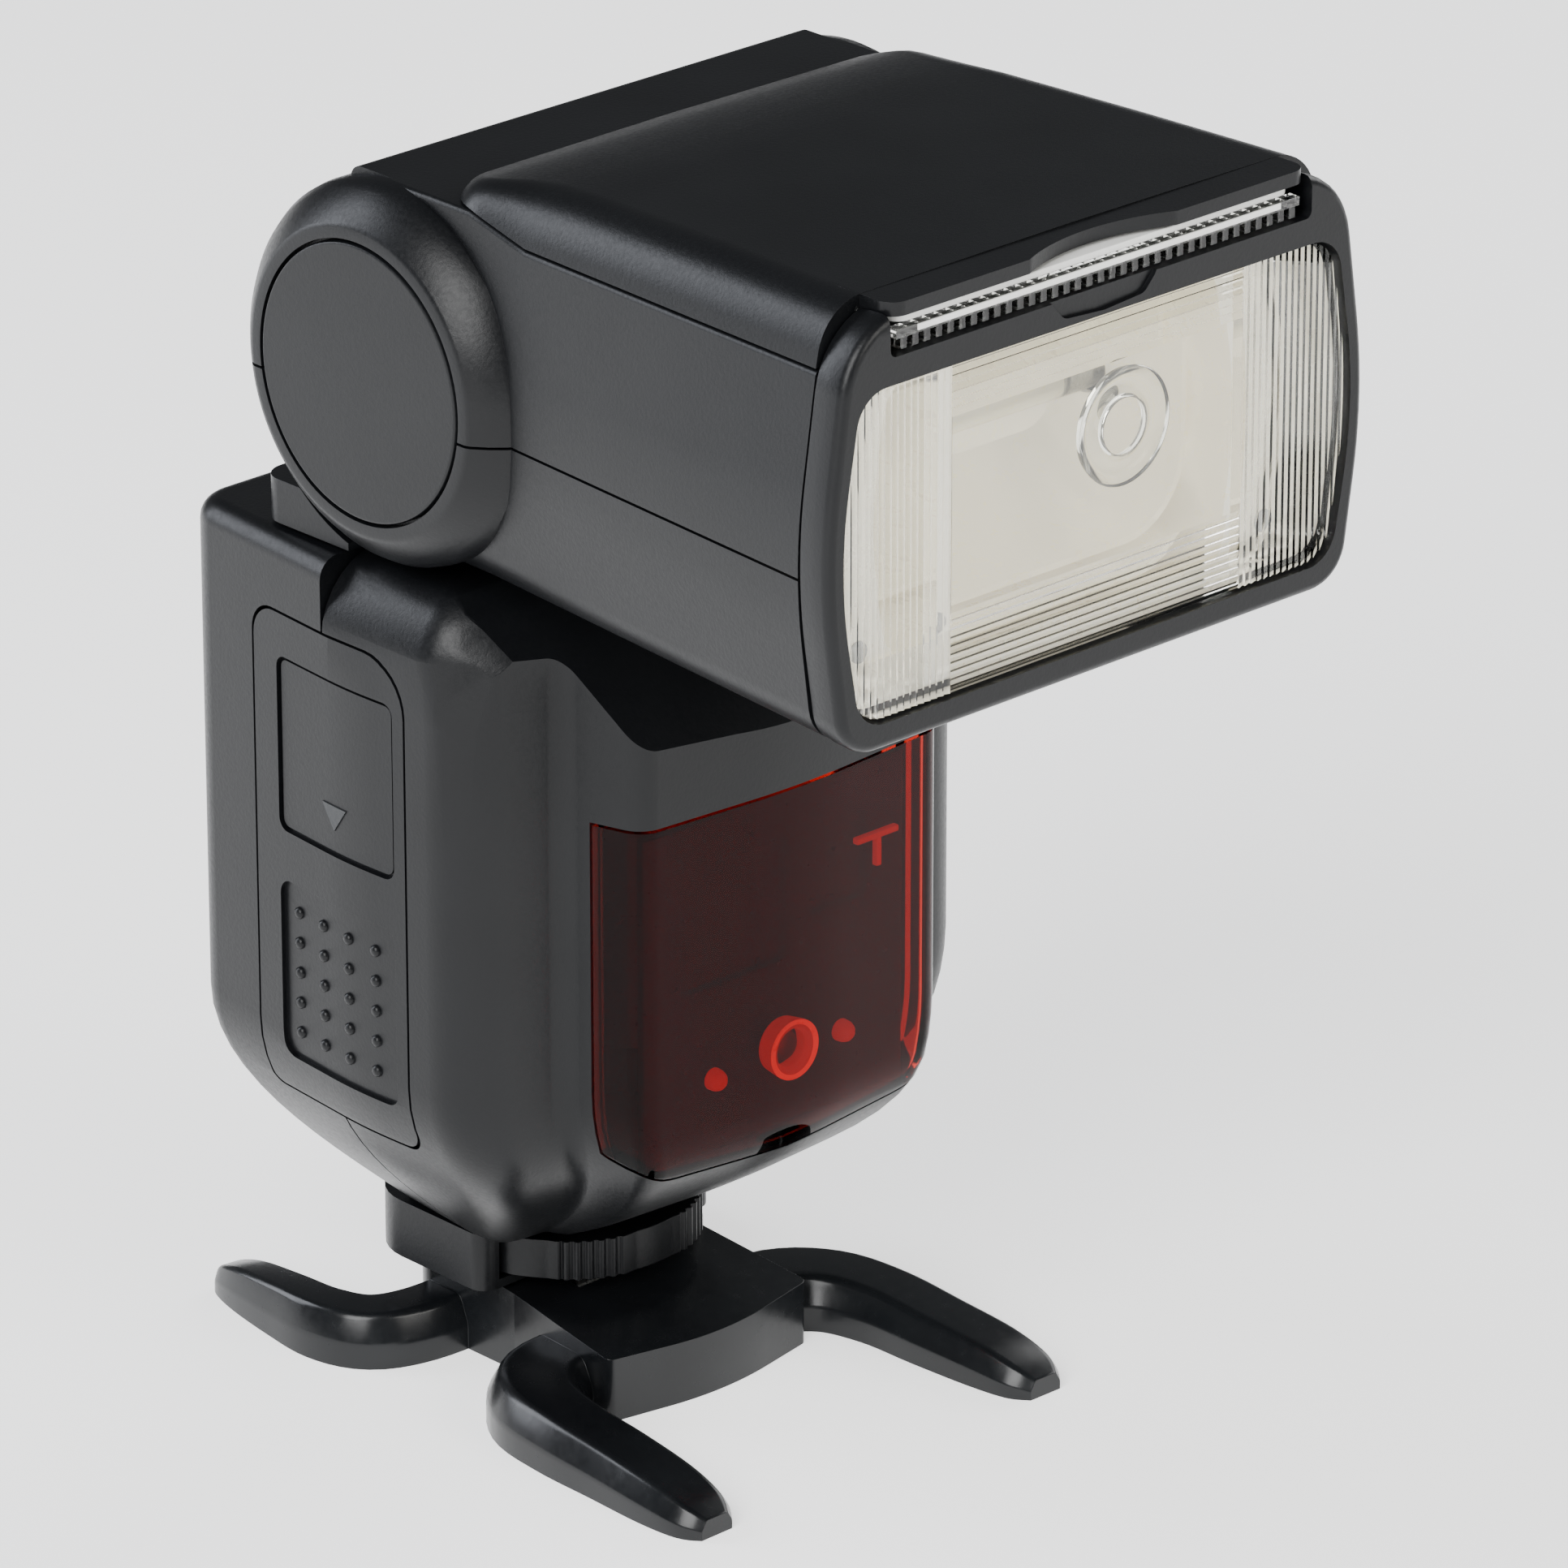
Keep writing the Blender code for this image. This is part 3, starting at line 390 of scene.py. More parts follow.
def make_finishes():
    s = bpy.context.scene.flash_finishes
    look = {}
    # Spark-eroded ABS: a fine matt grain that spreads each highlight into a soft grey band.
    look["abs"] = speckled("spark eroded ABS", "satin_black_abs", s.abs_dark, s.abs_light, s.abs_roughness,
                           0.45, 0.035, shine=s.abs_shine)
    # ABS from a polished tool: nearly black, with clean bright lines along its ridges.
    look["gloss"] = speckled("polished ABS", "gloss_black_plastic", "#0d0e10", "#141618", 0.24, 1.4, 0.012,
                             0.04,
                             shine=0.35)
    # Keys and inner mouldings: a shade greyer and flatter than the shells.
    look["grey"] = speckled("matt polyamide", "dark_grey_plastic", "#202224", "#2a2c2f", 0.55, 0.5, 0.04)
    look["rubber"] = speckled("moulded rubber", "black_rubber", "#151516", "#1c1c1d", 0.72, 0.35, 0.05,
                              sheen=0.08)
    # PMMA lens: water clear, with sharp glints on its prisms.
    look["clear"] = clear("moulded acrylic", "clear_acrylic", s.lens_colour, 0.03, 1.49, 0.02)
    # Red window: a low IOR keeps the pale room from washing out its colour.
    look["red"] = clear("dark red acrylic", "dark_red_acrylic", s.window_colour, 0.03, 1.18, 0.0, shine=0.2)
    look["cream"] = speckled("anodised reflector sheet with painted glow", "reflector_film", "#f3efe0", "#fbf8ee", 0.30, 2.2,
                             0.02, 0.06, metallic=0.25)
    # Painted glow: the cream reflector sheet emits light of its own though it is no lamp, standing in for the
    # light that the lens gathers in the reflector.
    shader = look["cream"].node_tree.nodes["Principled BSDF"]
    shader.inputs["Emission Color"].default_value = linear("#fff6e0")
    shader.inputs["Emission Strength"].default_value = s.painted_reflector_glow
    look["steel"] = brushed("nickel plated steel", "plated_steel", "#8d8d8c", "#b9b9b7", 0.28, 0.25, "z")
    look["brass"] = brushed("turned brass", "turned_brass", "#a9843c", "#c9a457", 0.26, 0.3, "x")
    look["white"] = speckled("white ABS", "white_plastic", "#e6e6e2", "#f2f2ef", 0.42, 0.6, 0.02)
    look["board"] = speckled("solder masked board", "circuit_board", "#0e4a26", "#146032", 0.35, 1.5, 0.03)
    look["display"] = speckled("unlit liquid crystal", "dark_grey_plastic", "#4c5751", "#566159", 0.30, 2.5,
                               0.005)
    look["legend"] = speckled("pad printed ink", "white_plastic", "#a9acae", "#bcbfc1", 0.5, 0.4, 0.01)
    # Painted glow: this red finish emits red light. The LEDs and the test lamp are lamps, but the window
    # bracket and the ring lens are not, and their glow is painted.
    look["signal"] = speckled("glowing red moulding", "dark_red_acrylic", "#c2201c", "#e0342c", 0.3, 1.0, 0.02)
    shader = look["signal"].node_tree.nodes["Principled BSDF"]
    shader.inputs["Emission Color"].default_value = linear("#ff3020")
    shader.inputs["Emission Strength"].default_value = 0.5
    return look


LOOK = {}


# ------------------------------------------------------------------ body forms
def body_plan():
    """Plan of the body: bowed nose, rolled front corners with a valley beside the nose, full sides."""
    half = [(0, NOSE_FRONT, 90), (21.4, -25.6, 3.2), (24.2, -16.4, 3.0), (36.2, -14.6, 8.5), (36.9, 3.0, 60),
            (34.2, BODY_REAR, 5.0)]
    return rounded(both_sides(half))


def body_ring(plan, z, shrink=0.0):
    side = min(max((z - BODY_BOTTOM) / 27.0, 0.0), 1.0)
    front = min(max((z - BODY_BOTTOM) / 21.0, 0.0), 1.0)
    k = 0.47 + 0.53 * math.sin(side * math.pi / 2)
    k_front = 0.28 + 0.72 * math.sin(front * math.pi / 2)
    return [(p.x * k, 8.0 + (p.y - 8.0) * (k_front if p.y < 8.0 else k), z)
            for p in (inset(plan, shrink) if shrink else plan)]


def body_form(wall=0.0, dome=False):
    """The body's skin, or the space within a wall; a domed one has the rolled shoulders of the front."""
    plan = body_plan()
    if wall:
        plan = inset(plan, wall)
    low, high, edge = BODY_BOTTOM + wall, BODY_TOP - wall, 2.4
    heights = [low + (44.0 - low) * (k / 14) ** 1.3 for k in range(15)] + [58, 72, 86, high - edge]
    rings = [body_ring(plan, z) for z in heights]
    for turn in (15, 30, 45, 60, 75, 90):
        a = math.radians(turn)
        rings.append(body_ring(plan, high - edge + edge * math.sin(a), edge * (1 - math.cos(a))))
    bm = loft(rings)
    brow = (((-4.5, 99.8), 11), ((-8.35, 99.05), 22), ((-8.68, 98.92), 33), ((-10.53, 98.17), 44),
            ((-26.84, 82.34), 52), ((-27.23, 81.76), 60), ((-27.54, 81.13), 68), ((-27.79, 80.30), 78))
    for point, tilt in brow:
        normal = Vector((0, -math.sin(math.radians(tilt)), math.cos(math.radians(tilt))))
        slice_off(bm, Vector((0, *point)) - normal * wall, normal)
    if dome:
        radius = 8.6 - wall
        for side in (-1, 1):
            middle = Vector((side * 28.0, -6.3, BODY_TOP - 8.6))
            for turn in (0, 18, 36, 54):
                for lean in (12, 24, 36, 48, 60, 72, 84)[:7 if turn < 50 else 5]:
                    a, e = math.radians(turn), math.radians(lean)
                    normal = Vector((side * math.cos(a) * math.sin(e), -math.sin(a) * math.sin(e),
                                     math.cos(e)))
                    slice_off(bm, middle + normal * radius, normal)
    return bm


def side_x(y):
    """Where the body's left side lies at y."""
    plan = body_plan()
    hits = [a.x + (b.x - a.x) * (y - a.y) / (b.y - a.y) for a, b in zip(plan, plan[1:] + plan[:1])
            if (a.y - y) * (b.y - y) <= 0 and a.y != b.y]
    return min(hits)


def door_outline(margin=0.0):
    y0, y1, z0, z1 = -5.6 - margin, 19.2 + margin, 36.0 - margin, 91.5 + margin
    return rounded([(y0, z0, 2.5), (y1, z0, 1.5), (y1, z1, 3.5), (y0, z1, 6.0)])


def port_outline(margin=0.0):
    return oblong(-1.3, 66.5, 5.7 + margin, 10.5 + margin, 2.0)


def window_outline(margin=0.0):
    half = [(0, 74.4 + margin, 0), (24.4, 74.4 + margin, 0), (24.0, 34.0 - margin, 9), (0, 32.6 - margin, 0)]
    return rounded(both_sides(half), 12)


FUNCTION_X, FUNCTION_Z = (-18.0, -6.0, 6.0, 18.0), 62.5


class FLASH_OT_front_shell(bpy.types.Operator):
    """Front half of the body: nose, rolled corners and the openings for window, door and sockets"""
    bl_idname = "flash.front_shell"
    bl_label = "Front shell"

    def execute(self, context):
        wall = context.scene.flash_body.wall
        shell = cut(body_form(dome=True), body_form(wall, dome=True),
                    box((-60, 60), (PARTING_Y - GAP / 2, 60), (0, 130)),
                    slab("x", door_outline(GAP), -50, -30), slab("x", port_outline(GAP), 30, 50),
                    slab("y", window_outline(GAP), -60, WINDOW_SIDE_Y + GAP),
                    rod("z", (0, 0, 80), 6.4, 0, 40))
        piece("front_shell", shell, LOOK["abs"], "flash", "body_front_shell", edge=0.25)
        return {"FINISHED"}


class FLASH_OT_rear_shell(bpy.types.Operator):
    """Rear half of the body with the holes of display, keys, dial and switch"""
    bl_idname = "flash.rear_shell"
    bl_label = "Rear shell"

    def execute(self, context):
        wall = context.scene.flash_body.wall
        through = (BODY_REAR - 4, BODY_REAR + 4)
        tools = [body_form(wall), box((-60, 60), (-60, PARTING_Y + GAP / 2), (0, 130)),
                 slab("x", door_outline(GAP), -50, -30),
                 slab("y", oblong(0, 80.5, 24.0 + GAP, 12.0 + GAP, 0.8), *through),
                 slab("y", oblong(20.0, 42.6, 5.0, 2.0, 0.6), *through)]
        tools.append(rod("y", (0, through[0], DIAL_Z), 10.3, 0, 8))
        tools.append(rod("z", (0, 0, 80), 6.4, 0, 40))
        for x in FUNCTION_X:
            tools.append(slab("y", oblong(x, FUNCTION_Z, 4.3, 2.2, 2.1), *through))
        for x in (-20.5, 20.5):
            tools.append(rod("y", (x, through[0], 52.0), 3.4, 0, 8, 40))
        shell = cut(body_form(), *tools)
        piece("rear_shell", shell, LOOK["abs"], "flash", "body_rear_shell", edge=0.25)
        return {"FINISHED"}


class FLASH_OT_battery_door(bpy.types.Operator):
    """Battery door with its push panel, arrow and grip dimples"""
    bl_idname = "flash.battery_door"
    bl_label = "Battery door"

    def execute(self, context):
        s = context.scene.flash_body
        door = shaped(body_form(dome=True), ("INTERSECT", slab("x", door_outline(), -50, -30)),
                      ("DIFFERENCE", body_form(1.9, dome=True)))
        arrow = [Vector((5.6 - 2.0, 72.6)), Vector((5.6 + 2.0, 72.6)), Vector((5.6, 69.8))]
        push = oblong(5.6, 76.9, 9.6, 9.9, 1.4)
        for outline, depth in ((push, 0.3), (oblong(5.6, 51.2, 9.6, 10.2, 1.8), 0.55)):
            door = cut(door, cut(slab("x", outline, -50, -30), body_form(depth, dome=True)))
        groove = cut(slab("x", push, -50, -30), slab("x", inset(push, 0.45), -51, -29),
                     body_form(0.75, dome=True))
        door = cut(door, groove)
        piece("door", door, LOOK["abs"], "battery_door", "battery_door", edge=0.18)
        mark = shaped(body_form(0.15, dome=True), ("INTERSECT", slab("x", arrow, -50, -30)),
                      ("DIFFERENCE", body_form(0.6, dome=True)))
        piece("door_arrow", mark, LOOK["grey"], "battery_door")
        dimples = []
        for row in range(5):
            for column in range(4):
                y, h = 12.5 - 4.3 * column, s.bump_height
                dot = turned("x", (side_x(y) + 0.55, y, 58.0 - 3.44 * row),
                             [(0.5, 0), (0.5, 0.72), (-0.4 * h, 0.66), (-0.8 * h, 0.46), (-h, 0.16),
                              (-h, 0)], 16)
                dimples.append(dot)
        piece("door_grip", gather(*dimples), LOOK["abs"], "battery_door", sharp=60)
        return {"FINISHED"}


class FLASH_OT_signal_window(bpy.types.Operator):
    """Dark red window over the nose, and the tray, ring lens and lamps behind it"""
    bl_idname = "flash.signal_window"
    bl_label = "Signal window"

    def execute(self, context):
        pane = shaped(body_form(dome=True), ("INTERSECT", slab("y", window_outline(), -60, WINDOW_SIDE_Y)),
                      ("DIFFERENCE", body_form(1.6, dome=True)))
        piece("window", pane, LOOK["red"], "flash", "signal_window", edge=0.3, segments=3)
        tray = cut(box((-18.4, 18.4), (-22.5, -21.2), (34.0, 72.0)),
                   slab("y", oblong(-6, 60, 7.5, 7.0, 1.0), -23, -22.0),
                   slab("y", oblong(9, 62, 4.0, 5.0, 0.6), -23, -22.0))
        piece("window_tray", tray, LOOK["gloss"], "flash", "sensor_tray", edge=0.2)
        # The bracket takes the glowing red finish, so it shows painted glow though it is no lamp.
        bracket = gather(box((11.2, 17.2), (-23.2, -22.4), (63.2, 63.9)),
                         box((14.0, 14.7), (-23.2, -22.4), (60.0, 63.2)))
        piece("window_bracket", bracket, LOOK["signal"], "flash", edge=0.1)
        # The ring lens takes the glowing red finish too, so its red glow is painted.
        ring = turned("y", (0, -25.6, 43.8),
                      [(0, 3.4), (0.5, 3.4), (2.4, 3.1), (2.4, 2.3), (0.9, 2.1), (0.3, 2.4)],
                      56, ring=True)
        piece("ring_lens", ring, LOOK["signal"], "flash", "assist_lens", edge=0.1)
        core = turned("y", (0, -24.6, 43.8), [(0, 0), (0.1, 1.0), (0.5, 1.6), (1.3, 1.8), (1.3, 0)], 40)
        piece("ring_lens_core", core, LOOK["clear"], "flash")
        for side, x in (("left", -9.2), ("right", 9.2)):
            lamp = turned("y", (x, -24.5, 42.4), [(0, 0), (0.15, 0.55), (0.6, 1.0), (1.1, 1.2), (1.8, 1.25),
                                                  (1.8, 0)], 32)
            piece(f"lamp_{side}", lamp, LOOK["signal"], "flash", f"assist_led_{side}")
        return {"FINISHED"}


class FLASH_OT_port_cover(bpy.types.Operator):
    """Rubber cover of the sockets on the right side"""
    bl_idname = "flash.port_cover"
    bl_label = "Port cover"

    def execute(self, context):
        cover = shaped(body_form(dome=True), ("INTERSECT", slab("x", port_outline(), 30, 50)),
                       ("DIFFERENCE", body_form(1.9, dome=True)),
                       ("DIFFERENCE", slab("x", oblong(-1.3, 66.5, 4.3, 9.0, 1.4), 36.35, 50)))
        piece("socket_cover", cover, LOOK["rubber"], "port_cover", "port_cover", edge=0.2)
        ridges = [slab("y", oblong(36.2, 61.5 + 2.5 * i, 0.35, 0.45, 0.25, 3), -4.0, 1.4) for i in range(5)]
        piece("socket_cover_ridges", gather(*ridges), LOOK["rubber"], "port_cover")
        return {"FINISHED"}


class FLASH_OT_display(bpy.types.Operator):
    """Rear display: smoked window over an unlit panel"""
    bl_idname = "flash.display"
    bl_label = "Display"

    def execute(self, context):
        y0 = BODY_REAR - 1.4
        frame_plate = cut(slab("y", oblong(0, 80.5, 24.0, 12.0, 0.7), y0, BODY_REAR + 0.05),
                          slab("y", oblong(0, 80.8, 21.0, 10.2, 0.6), BODY_REAR - 0.35, BODY_REAR + 1))
        piece("display_window", frame_plate, LOOK["gloss"], "flash", "lcd_window", edge=0.2)
        panel = slab("y", oblong(0, 80.8, 20.4, 9.6, 0.3), BODY_REAR - 0.36, BODY_REAR - 0.22)
        piece("display_panel", panel, LOOK["display"], "flash")
        return {"FINISHED"}


class FLASH_OT_keys(bpy.types.Operator):
    """Function keys, mode and test buttons, switch knob, dial and its set button"""
    bl_idname = "flash.keys"
    bl_label = "Keys and dial"

    def execute(self, context):
        proud = BODY_REAR + context.scene.flash_body.key_height
        for i, x in enumerate(FUNCTION_X):
            key = slab("y", oblong(x, FUNCTION_Z, 4.0, 1.9, 1.8), 26.5, proud)
            name = f"function_button_{i + 1}"
            piece("key_" + str(i + 1), key, LOOK["grey"], name, name, edge=0.35, segments=3)
        for name, x in (("mode_button", -20.5), ("test_button", 20.5)):
            key = turned("y", (x, 26.5, 52.0), [(0, 0), (0, 3.1), (proud - 26.9, 3.1), (proud - 26.6, 2.8),
                                                (proud - 26.5, 2.2), (proud - 26.75, 0)], 48)
            piece(name.split("_")[0] + "_key", key, LOOK["grey"], name, name)
        lamp = turned("y", (20.5, proud - 0.35, 52.0), [(0, 0), (0, 0.8), (0.3, 0.7), (0.4, 0)], 24)
        piece("test_lamp", lamp, LOOK["signal"], "test_button")
        knob = box((15.4, 19.6), (27.4, BODY_REAR + 1.0), (41.0, 44.2))
        grooves = [box((16.2 + 0.9 * i, 16.6 + 0.9 * i), (BODY_REAR + 0.6, BODY_REAR + 2),
                       (40.5, 44.8)) for i in range(4)]
        piece("switch_knob", cut(knob, *grooves), LOOK["grey"], "power_switch", "power_switch", edge=0.12)
        teeth = 60
        ring = []
        for k in range(teeth * 4):
            a = math.tau * k / (teeth * 4)
            radius = 10.0 - (0.28 if k % 4 in (0, 1) else 0.0)
            ring.append(Vector((radius * math.cos(a), DIAL_Z + radius * math.sin(a))))
        rim = cut(slab("y", ring, 28.2, BODY_REAR + 1.5),
                  rod("y", (0, 26, DIAL_Z), 5.0, 0, 10, 64),
                  turned("y", (0, BODY_REAR + 1.0, DIAL_Z), [(0, 6.0), (0, 8.4), (3, 8.9), (3, 5.5)], 64,
                         ring=True))
        piece("dial_wheel", rim, LOOK["grey"], "control_dial", "control_dial", edge=0.12)
        middle = turned("y", (0, 27.0, DIAL_Z),
                        [(0, 0), (0, 4.6), (4.9, 4.6), (5.3, 4.3), (5.5, 3.8), (5.3, 0)], 64)
        piece("set_key", middle, LOOK["grey"], "set_button", "set_button")
        marks = []
        for turn in range(4):
            a = math.radians(45 + 90 * turn)
            x, z = 12.4 * math.cos(a), DIAL_Z + 12.4 * math.sin(a)
            marks.append(slab("y", oblong(x, z, 0.8, 0.18, 0.1, 2), BODY_REAR - 0.3, BODY_REAR + 0.04))
        for x in FUNCTION_X:
            marks.append(slab("y", oblong(x, 66.0, 1.2, 0.16, 0.1, 2), BODY_REAR - 0.3, BODY_REAR + 0.04))
        for x in (15.6, 24.4):
            marks.append(slab("y", oblong(x, 39.6, 0.2 if x < 20 else 0.7, 0.5, 0.15, 3), BODY_REAR - 0.3,
                              BODY_REAR + 0.04))
        piece("panel_marks", gather(*marks), LOOK["legend"], "flash")
        return {"FINISHED"}


# ------------------------------------------------------------------ neck and head
class FLASH_OT_neck(bpy.types.Operator):
    """Swivelling neck: drum of the tilt joint on its base and stem"""
    bl_idname = "flash.neck"
    bl_label = "Neck"

    def execute(self, context):
        drum = turned("x", (0, 0, AXIS_Z),
                      [(-20.2, 0), (-20.2, 18.3), (-19.7, 18.8), (19.7, 18.8), (20.2, 18.3),
                                            (20.2, 0)], 96)
        wedge = slab("z", rounded([(-33.5, 6.0, 0), (33.5, 6.0, 0), (33.5, 20.0, 3.0), (-33.5, 20.0, 3.0)]),
                     100.3, 105.2)
        wedge = cut(wedge, rod("x", (0, 0, AXIS_Z), 21.1, -40, 40, 96))
        neck = shaped(drum, ("UNION", wedge), ("UNION", box((-16, 16), (-8.4, 12), (100.3, 108))),
                      ("UNION", rod("z", (0, 0, 91.5), 6, 0, 14, 48)),
                      ("DIFFERENCE", rod("x", (0, 0, AXIS_Z), 15.6, -17, 17, 72)),
                      ("DIFFERENCE", rod("x", (0, 0, AXIS_Z), 4.3, -30, 30, 40)),
                      ("DIFFERENCE", rod("z", (0, 0, 85), 3.6, 0, 30, 40)))
        piece("neck", neck, LOOK["abs"], "neck", "neck_yoke", edge=0.3)
        return {"FINISHED"}


def shell_top(y):
    """Top of the head shell, which rises to the hub behind the drawer."""
    return 140.2 + 1.9 * min(max((y + 21.0) / 9.0, 0.0), 1.0)


def head_ring(y, margin=0.0):
    t = min(max((-10.0 - y) / 58.0, 0.0), 1.0)
    top = shell_top(y)
    w_top, w_mid, w_low = 32.3 + 2.9 * t, 33.4 + 4.9 * t, 31.0 + 4.6 * t
    low = 101.0 - 0.5 * t
    outline = rounded(both_sides([(0, low, 0), (w_low, low, 5.0), (w_mid, AXIS_Z - 1, 60),
                                  (w_top, top, 0.6 + margin), (0, top, 0)]), 8)
    if margin:
        outline = inset(outline, margin)
    return [(p.x, y, p.y) for p in outline]


class FLASH_OT_head_shells(bpy.types.Operator):
    """Upper and lower head shells with the round hubs of the tilt joint"""
    bl_idname = "flash.head_shells"
    bl_label = "Head shells"

    def execute(self, context):
        def tools():
            cavity = loft([head_ring(y, 1.8) for y in (-80.0, -56.0, -44.0, -32.0, -20.0, -12.0)])
            made = [cavity, rod("x", (0, 0, AXIS_Z), 19.1, -20.6, 20.6, 96)]
            for x in (-34.2, 22.8):
                made.append(rod("x", (x, 0, AXIS_Z), 18.4, 0, 11.4, 72))
            for x in (-38.0, 35.6):
                made.append(rod("x", (x, 0, AXIS_Z), 15.3, 0, 2.4, 96))
            made.append(rod("x", (-30, 0, AXIS_Z), 4.3, 0, 60, 40))
            made.append(box((-20.6, 20.6), (-9.3, 30), (90, AXIS_Z)))
            made.append(box((-20.6, 20.6), (10.3, 30), (AXIS_Z - 1, 150)))
            return made

        hub_profile = [(-37.0, 0), (-37.0, 16.4), (-36.8, 17.0), (-35.6, 18.5), (-34.2, 19.8), (-33.0, 20.5),
                       (-31.8, 20.7), (31.8, 20.7), (33.0, 20.5), (34.2, 19.8), (35.6, 18.5), (36.8, 17.0),
                       (37.0, 16.4), (37.0, 0)]
        for name, node, limits in (("head_top", "head_upper_shell", (0, SEAM_Z + GAP / 2)),
                                   ("head_bottom", "head_lower_shell", (SEAM_Z - GAP / 2, 200))):
            stations = (-65.8, -60, -56, -50, -44, -38, -32, -26, -21, -19, -16.5, -14, -12, -6, 0.0)
            roof = slab("x", rounded([(-12.0, 128.0, 0), (6.0, 128.0, 0), (7.2, AXIS_Z + 20.7, 1.6),
                                      (-12.0, AXIS_Z + 20.7, 0)]), -31.4, 31.4)
            shell = shaped(loft([head_ring(y) for y in stations]),
                           ("UNION", turned("x", (0, 0, AXIS_Z), hub_profile, 112)), ("UNION", roof))
            shell = cut(shell, *tools(), box((-60, 60), (-90, 60), limits))
            if node == "head_lower_shell":
                shell = cut(shell, *[rod("z", (x, -54.0, 95), 2.1, 0, 12, 32)
                                     for x in (-21, 21)])
            piece(name, shell, LOOK["abs"], "head", node, edge=0.22, sharp=30)
        for side, sign in (("left", -1), ("right", 1)):
            profile = [(0, 0), (0, 14.6), (0.12, 14.85), (0.4, 15.0), (1.2, 15.0), (1.2, 0)]
            cap = turned("x", (0, 0, 0), [(sign * -t, r) for t, r in profile], 112)
            bmesh.ops.translate(cap, vec=(sign * 37.1, 0, AXIS_Z), verts=cap.verts)
            piece(f"cap_{side}", cap, LOOK["abs"], "head", f"hinge_cap_{side}")
        return {"FINISHED"}


def cover_ring(y, top):
    t = min(max((-10.0 - y) / 58.0, 0.0), 1.0)
    past = min(max(y + 13.3, 0.0), 6.3)
    wide = 32.3 + 2.9 * t - (6.5 - math.sqrt(6.5 ** 2 - past ** 2))
    floor = shell_top(y) + GAP
    half = [(0, floor, 0), (wide, floor, 0), (wide - 1.2, top, 6.0), (0, top + 0.2, 0)]
    return [(p.x, y, p.y) for p in rounded(both_sides(half), 10)]


class FLASH_OT_top_cover(bpy.types.Operator):
    """Raised top cover with the scooped visor over the panel slot"""
    bl_idname = "flash.top_cover"
    bl_label = "Top cover"

    def execute(self, context):
        tops = [(-65.8, 146.8), (-55, 146.7), (-45, 146.6), (-35, 146.4), (-26, 146.2), (-21, 145.9),
                (-16.5, 145.4),
                (-13.8, 145.0), (-12.0, 144.7), (-10.6, 144.4), (-9.5, 144.1), (-8.6, 143.85), (-7.8, 143.6),
                (-7.2, 143.35), (-6.8, 143.1)]
        cover = loft([cover_ring(y, top) for y, top in tops])
        visor = slab("z",
                     rounded([(-29.2, -70.3, 2.0), (29.2, -70.3, 2.0), (29.2, -62.8, 0), (-29.2, -62.8, 0)]),
                     145.3, 146.8)
        scoop = rod("z", (0, HEAD_FRONT - 22.0, 140), 24.5, 0, 12, 128)
        cover = shaped(cover, ("UNION", visor), ("DIFFERENCE", scoop),
                       ("DIFFERENCE", box((-29, 29), (-90, -20.5), (139, 145.2))))
        piece("cover", cover, LOOK["abs"], "head", "top_cover", edge=0.35, segments=3, sharp=34)
        return {"FINISHED"}


def lens_outline(margin=0.0):
    half, low, high = 33.1 + margin, 103.4 - margin, 138.2 + margin
    return rounded(both_sides([(0, low, 0), (half, low, 4), (36.2 + margin, AXIS_Z - 0.9, 60),
                               (half, high, 4),
                               (0, high, 0)]), 10)


class FLASH_OT_bezel(bpy.types.Operator):
    """Front bezel round the lens and the panel slot"""
    bl_idname = "flash.bezel"
    bl_label = "Front bezel"

    def execute(self, context):
        def ring(y, margin):
            half = [(0, HEAD_BOTTOM, 0), (35.4, HEAD_BOTTOM, 5.0), (38.42, AXIS_Z - 1, 60),
                    (34.6, 146.2, 9.0),
                    (0, 146.2, 0)]
            return [(p.x, y, p.y) for p in inset(rounded(both_sides(half), 10), margin)]

        rings = [ring(-66.1, 0.3), ring(-67.6, 0.1), ring(HEAD_FRONT + 1.2, 0.0),
                 ring(HEAD_FRONT + 0.6, 0.12),
                 ring(HEAD_FRONT + 0.2, 0.45), ring(HEAD_FRONT, 1.0)]
        grip = slab("y",
                    rounded(both_sides([(0, 139.0, 0), (5.6, 139.4, 1.5), (8.4, 142.4, 1.0), (0, 142.4, 0)])),
                    -80, HEAD_FRONT + 0.5)
        bezel = cut(loft(rings), slab("y", lens_outline(GAP), -80, -60), grip,
                    slab("y",
                         rounded([(-29.5, 141.4, 0.8), (29.5, 141.4, 0.8), (29.5, 160, 0), (-29.5, 160, 0)]),
                         -80, -60))
        piece("bezel", bezel, LOOK["abs"], "head", "front_bezel", edge=0.25, segments=3)
        return {"FINISHED"}


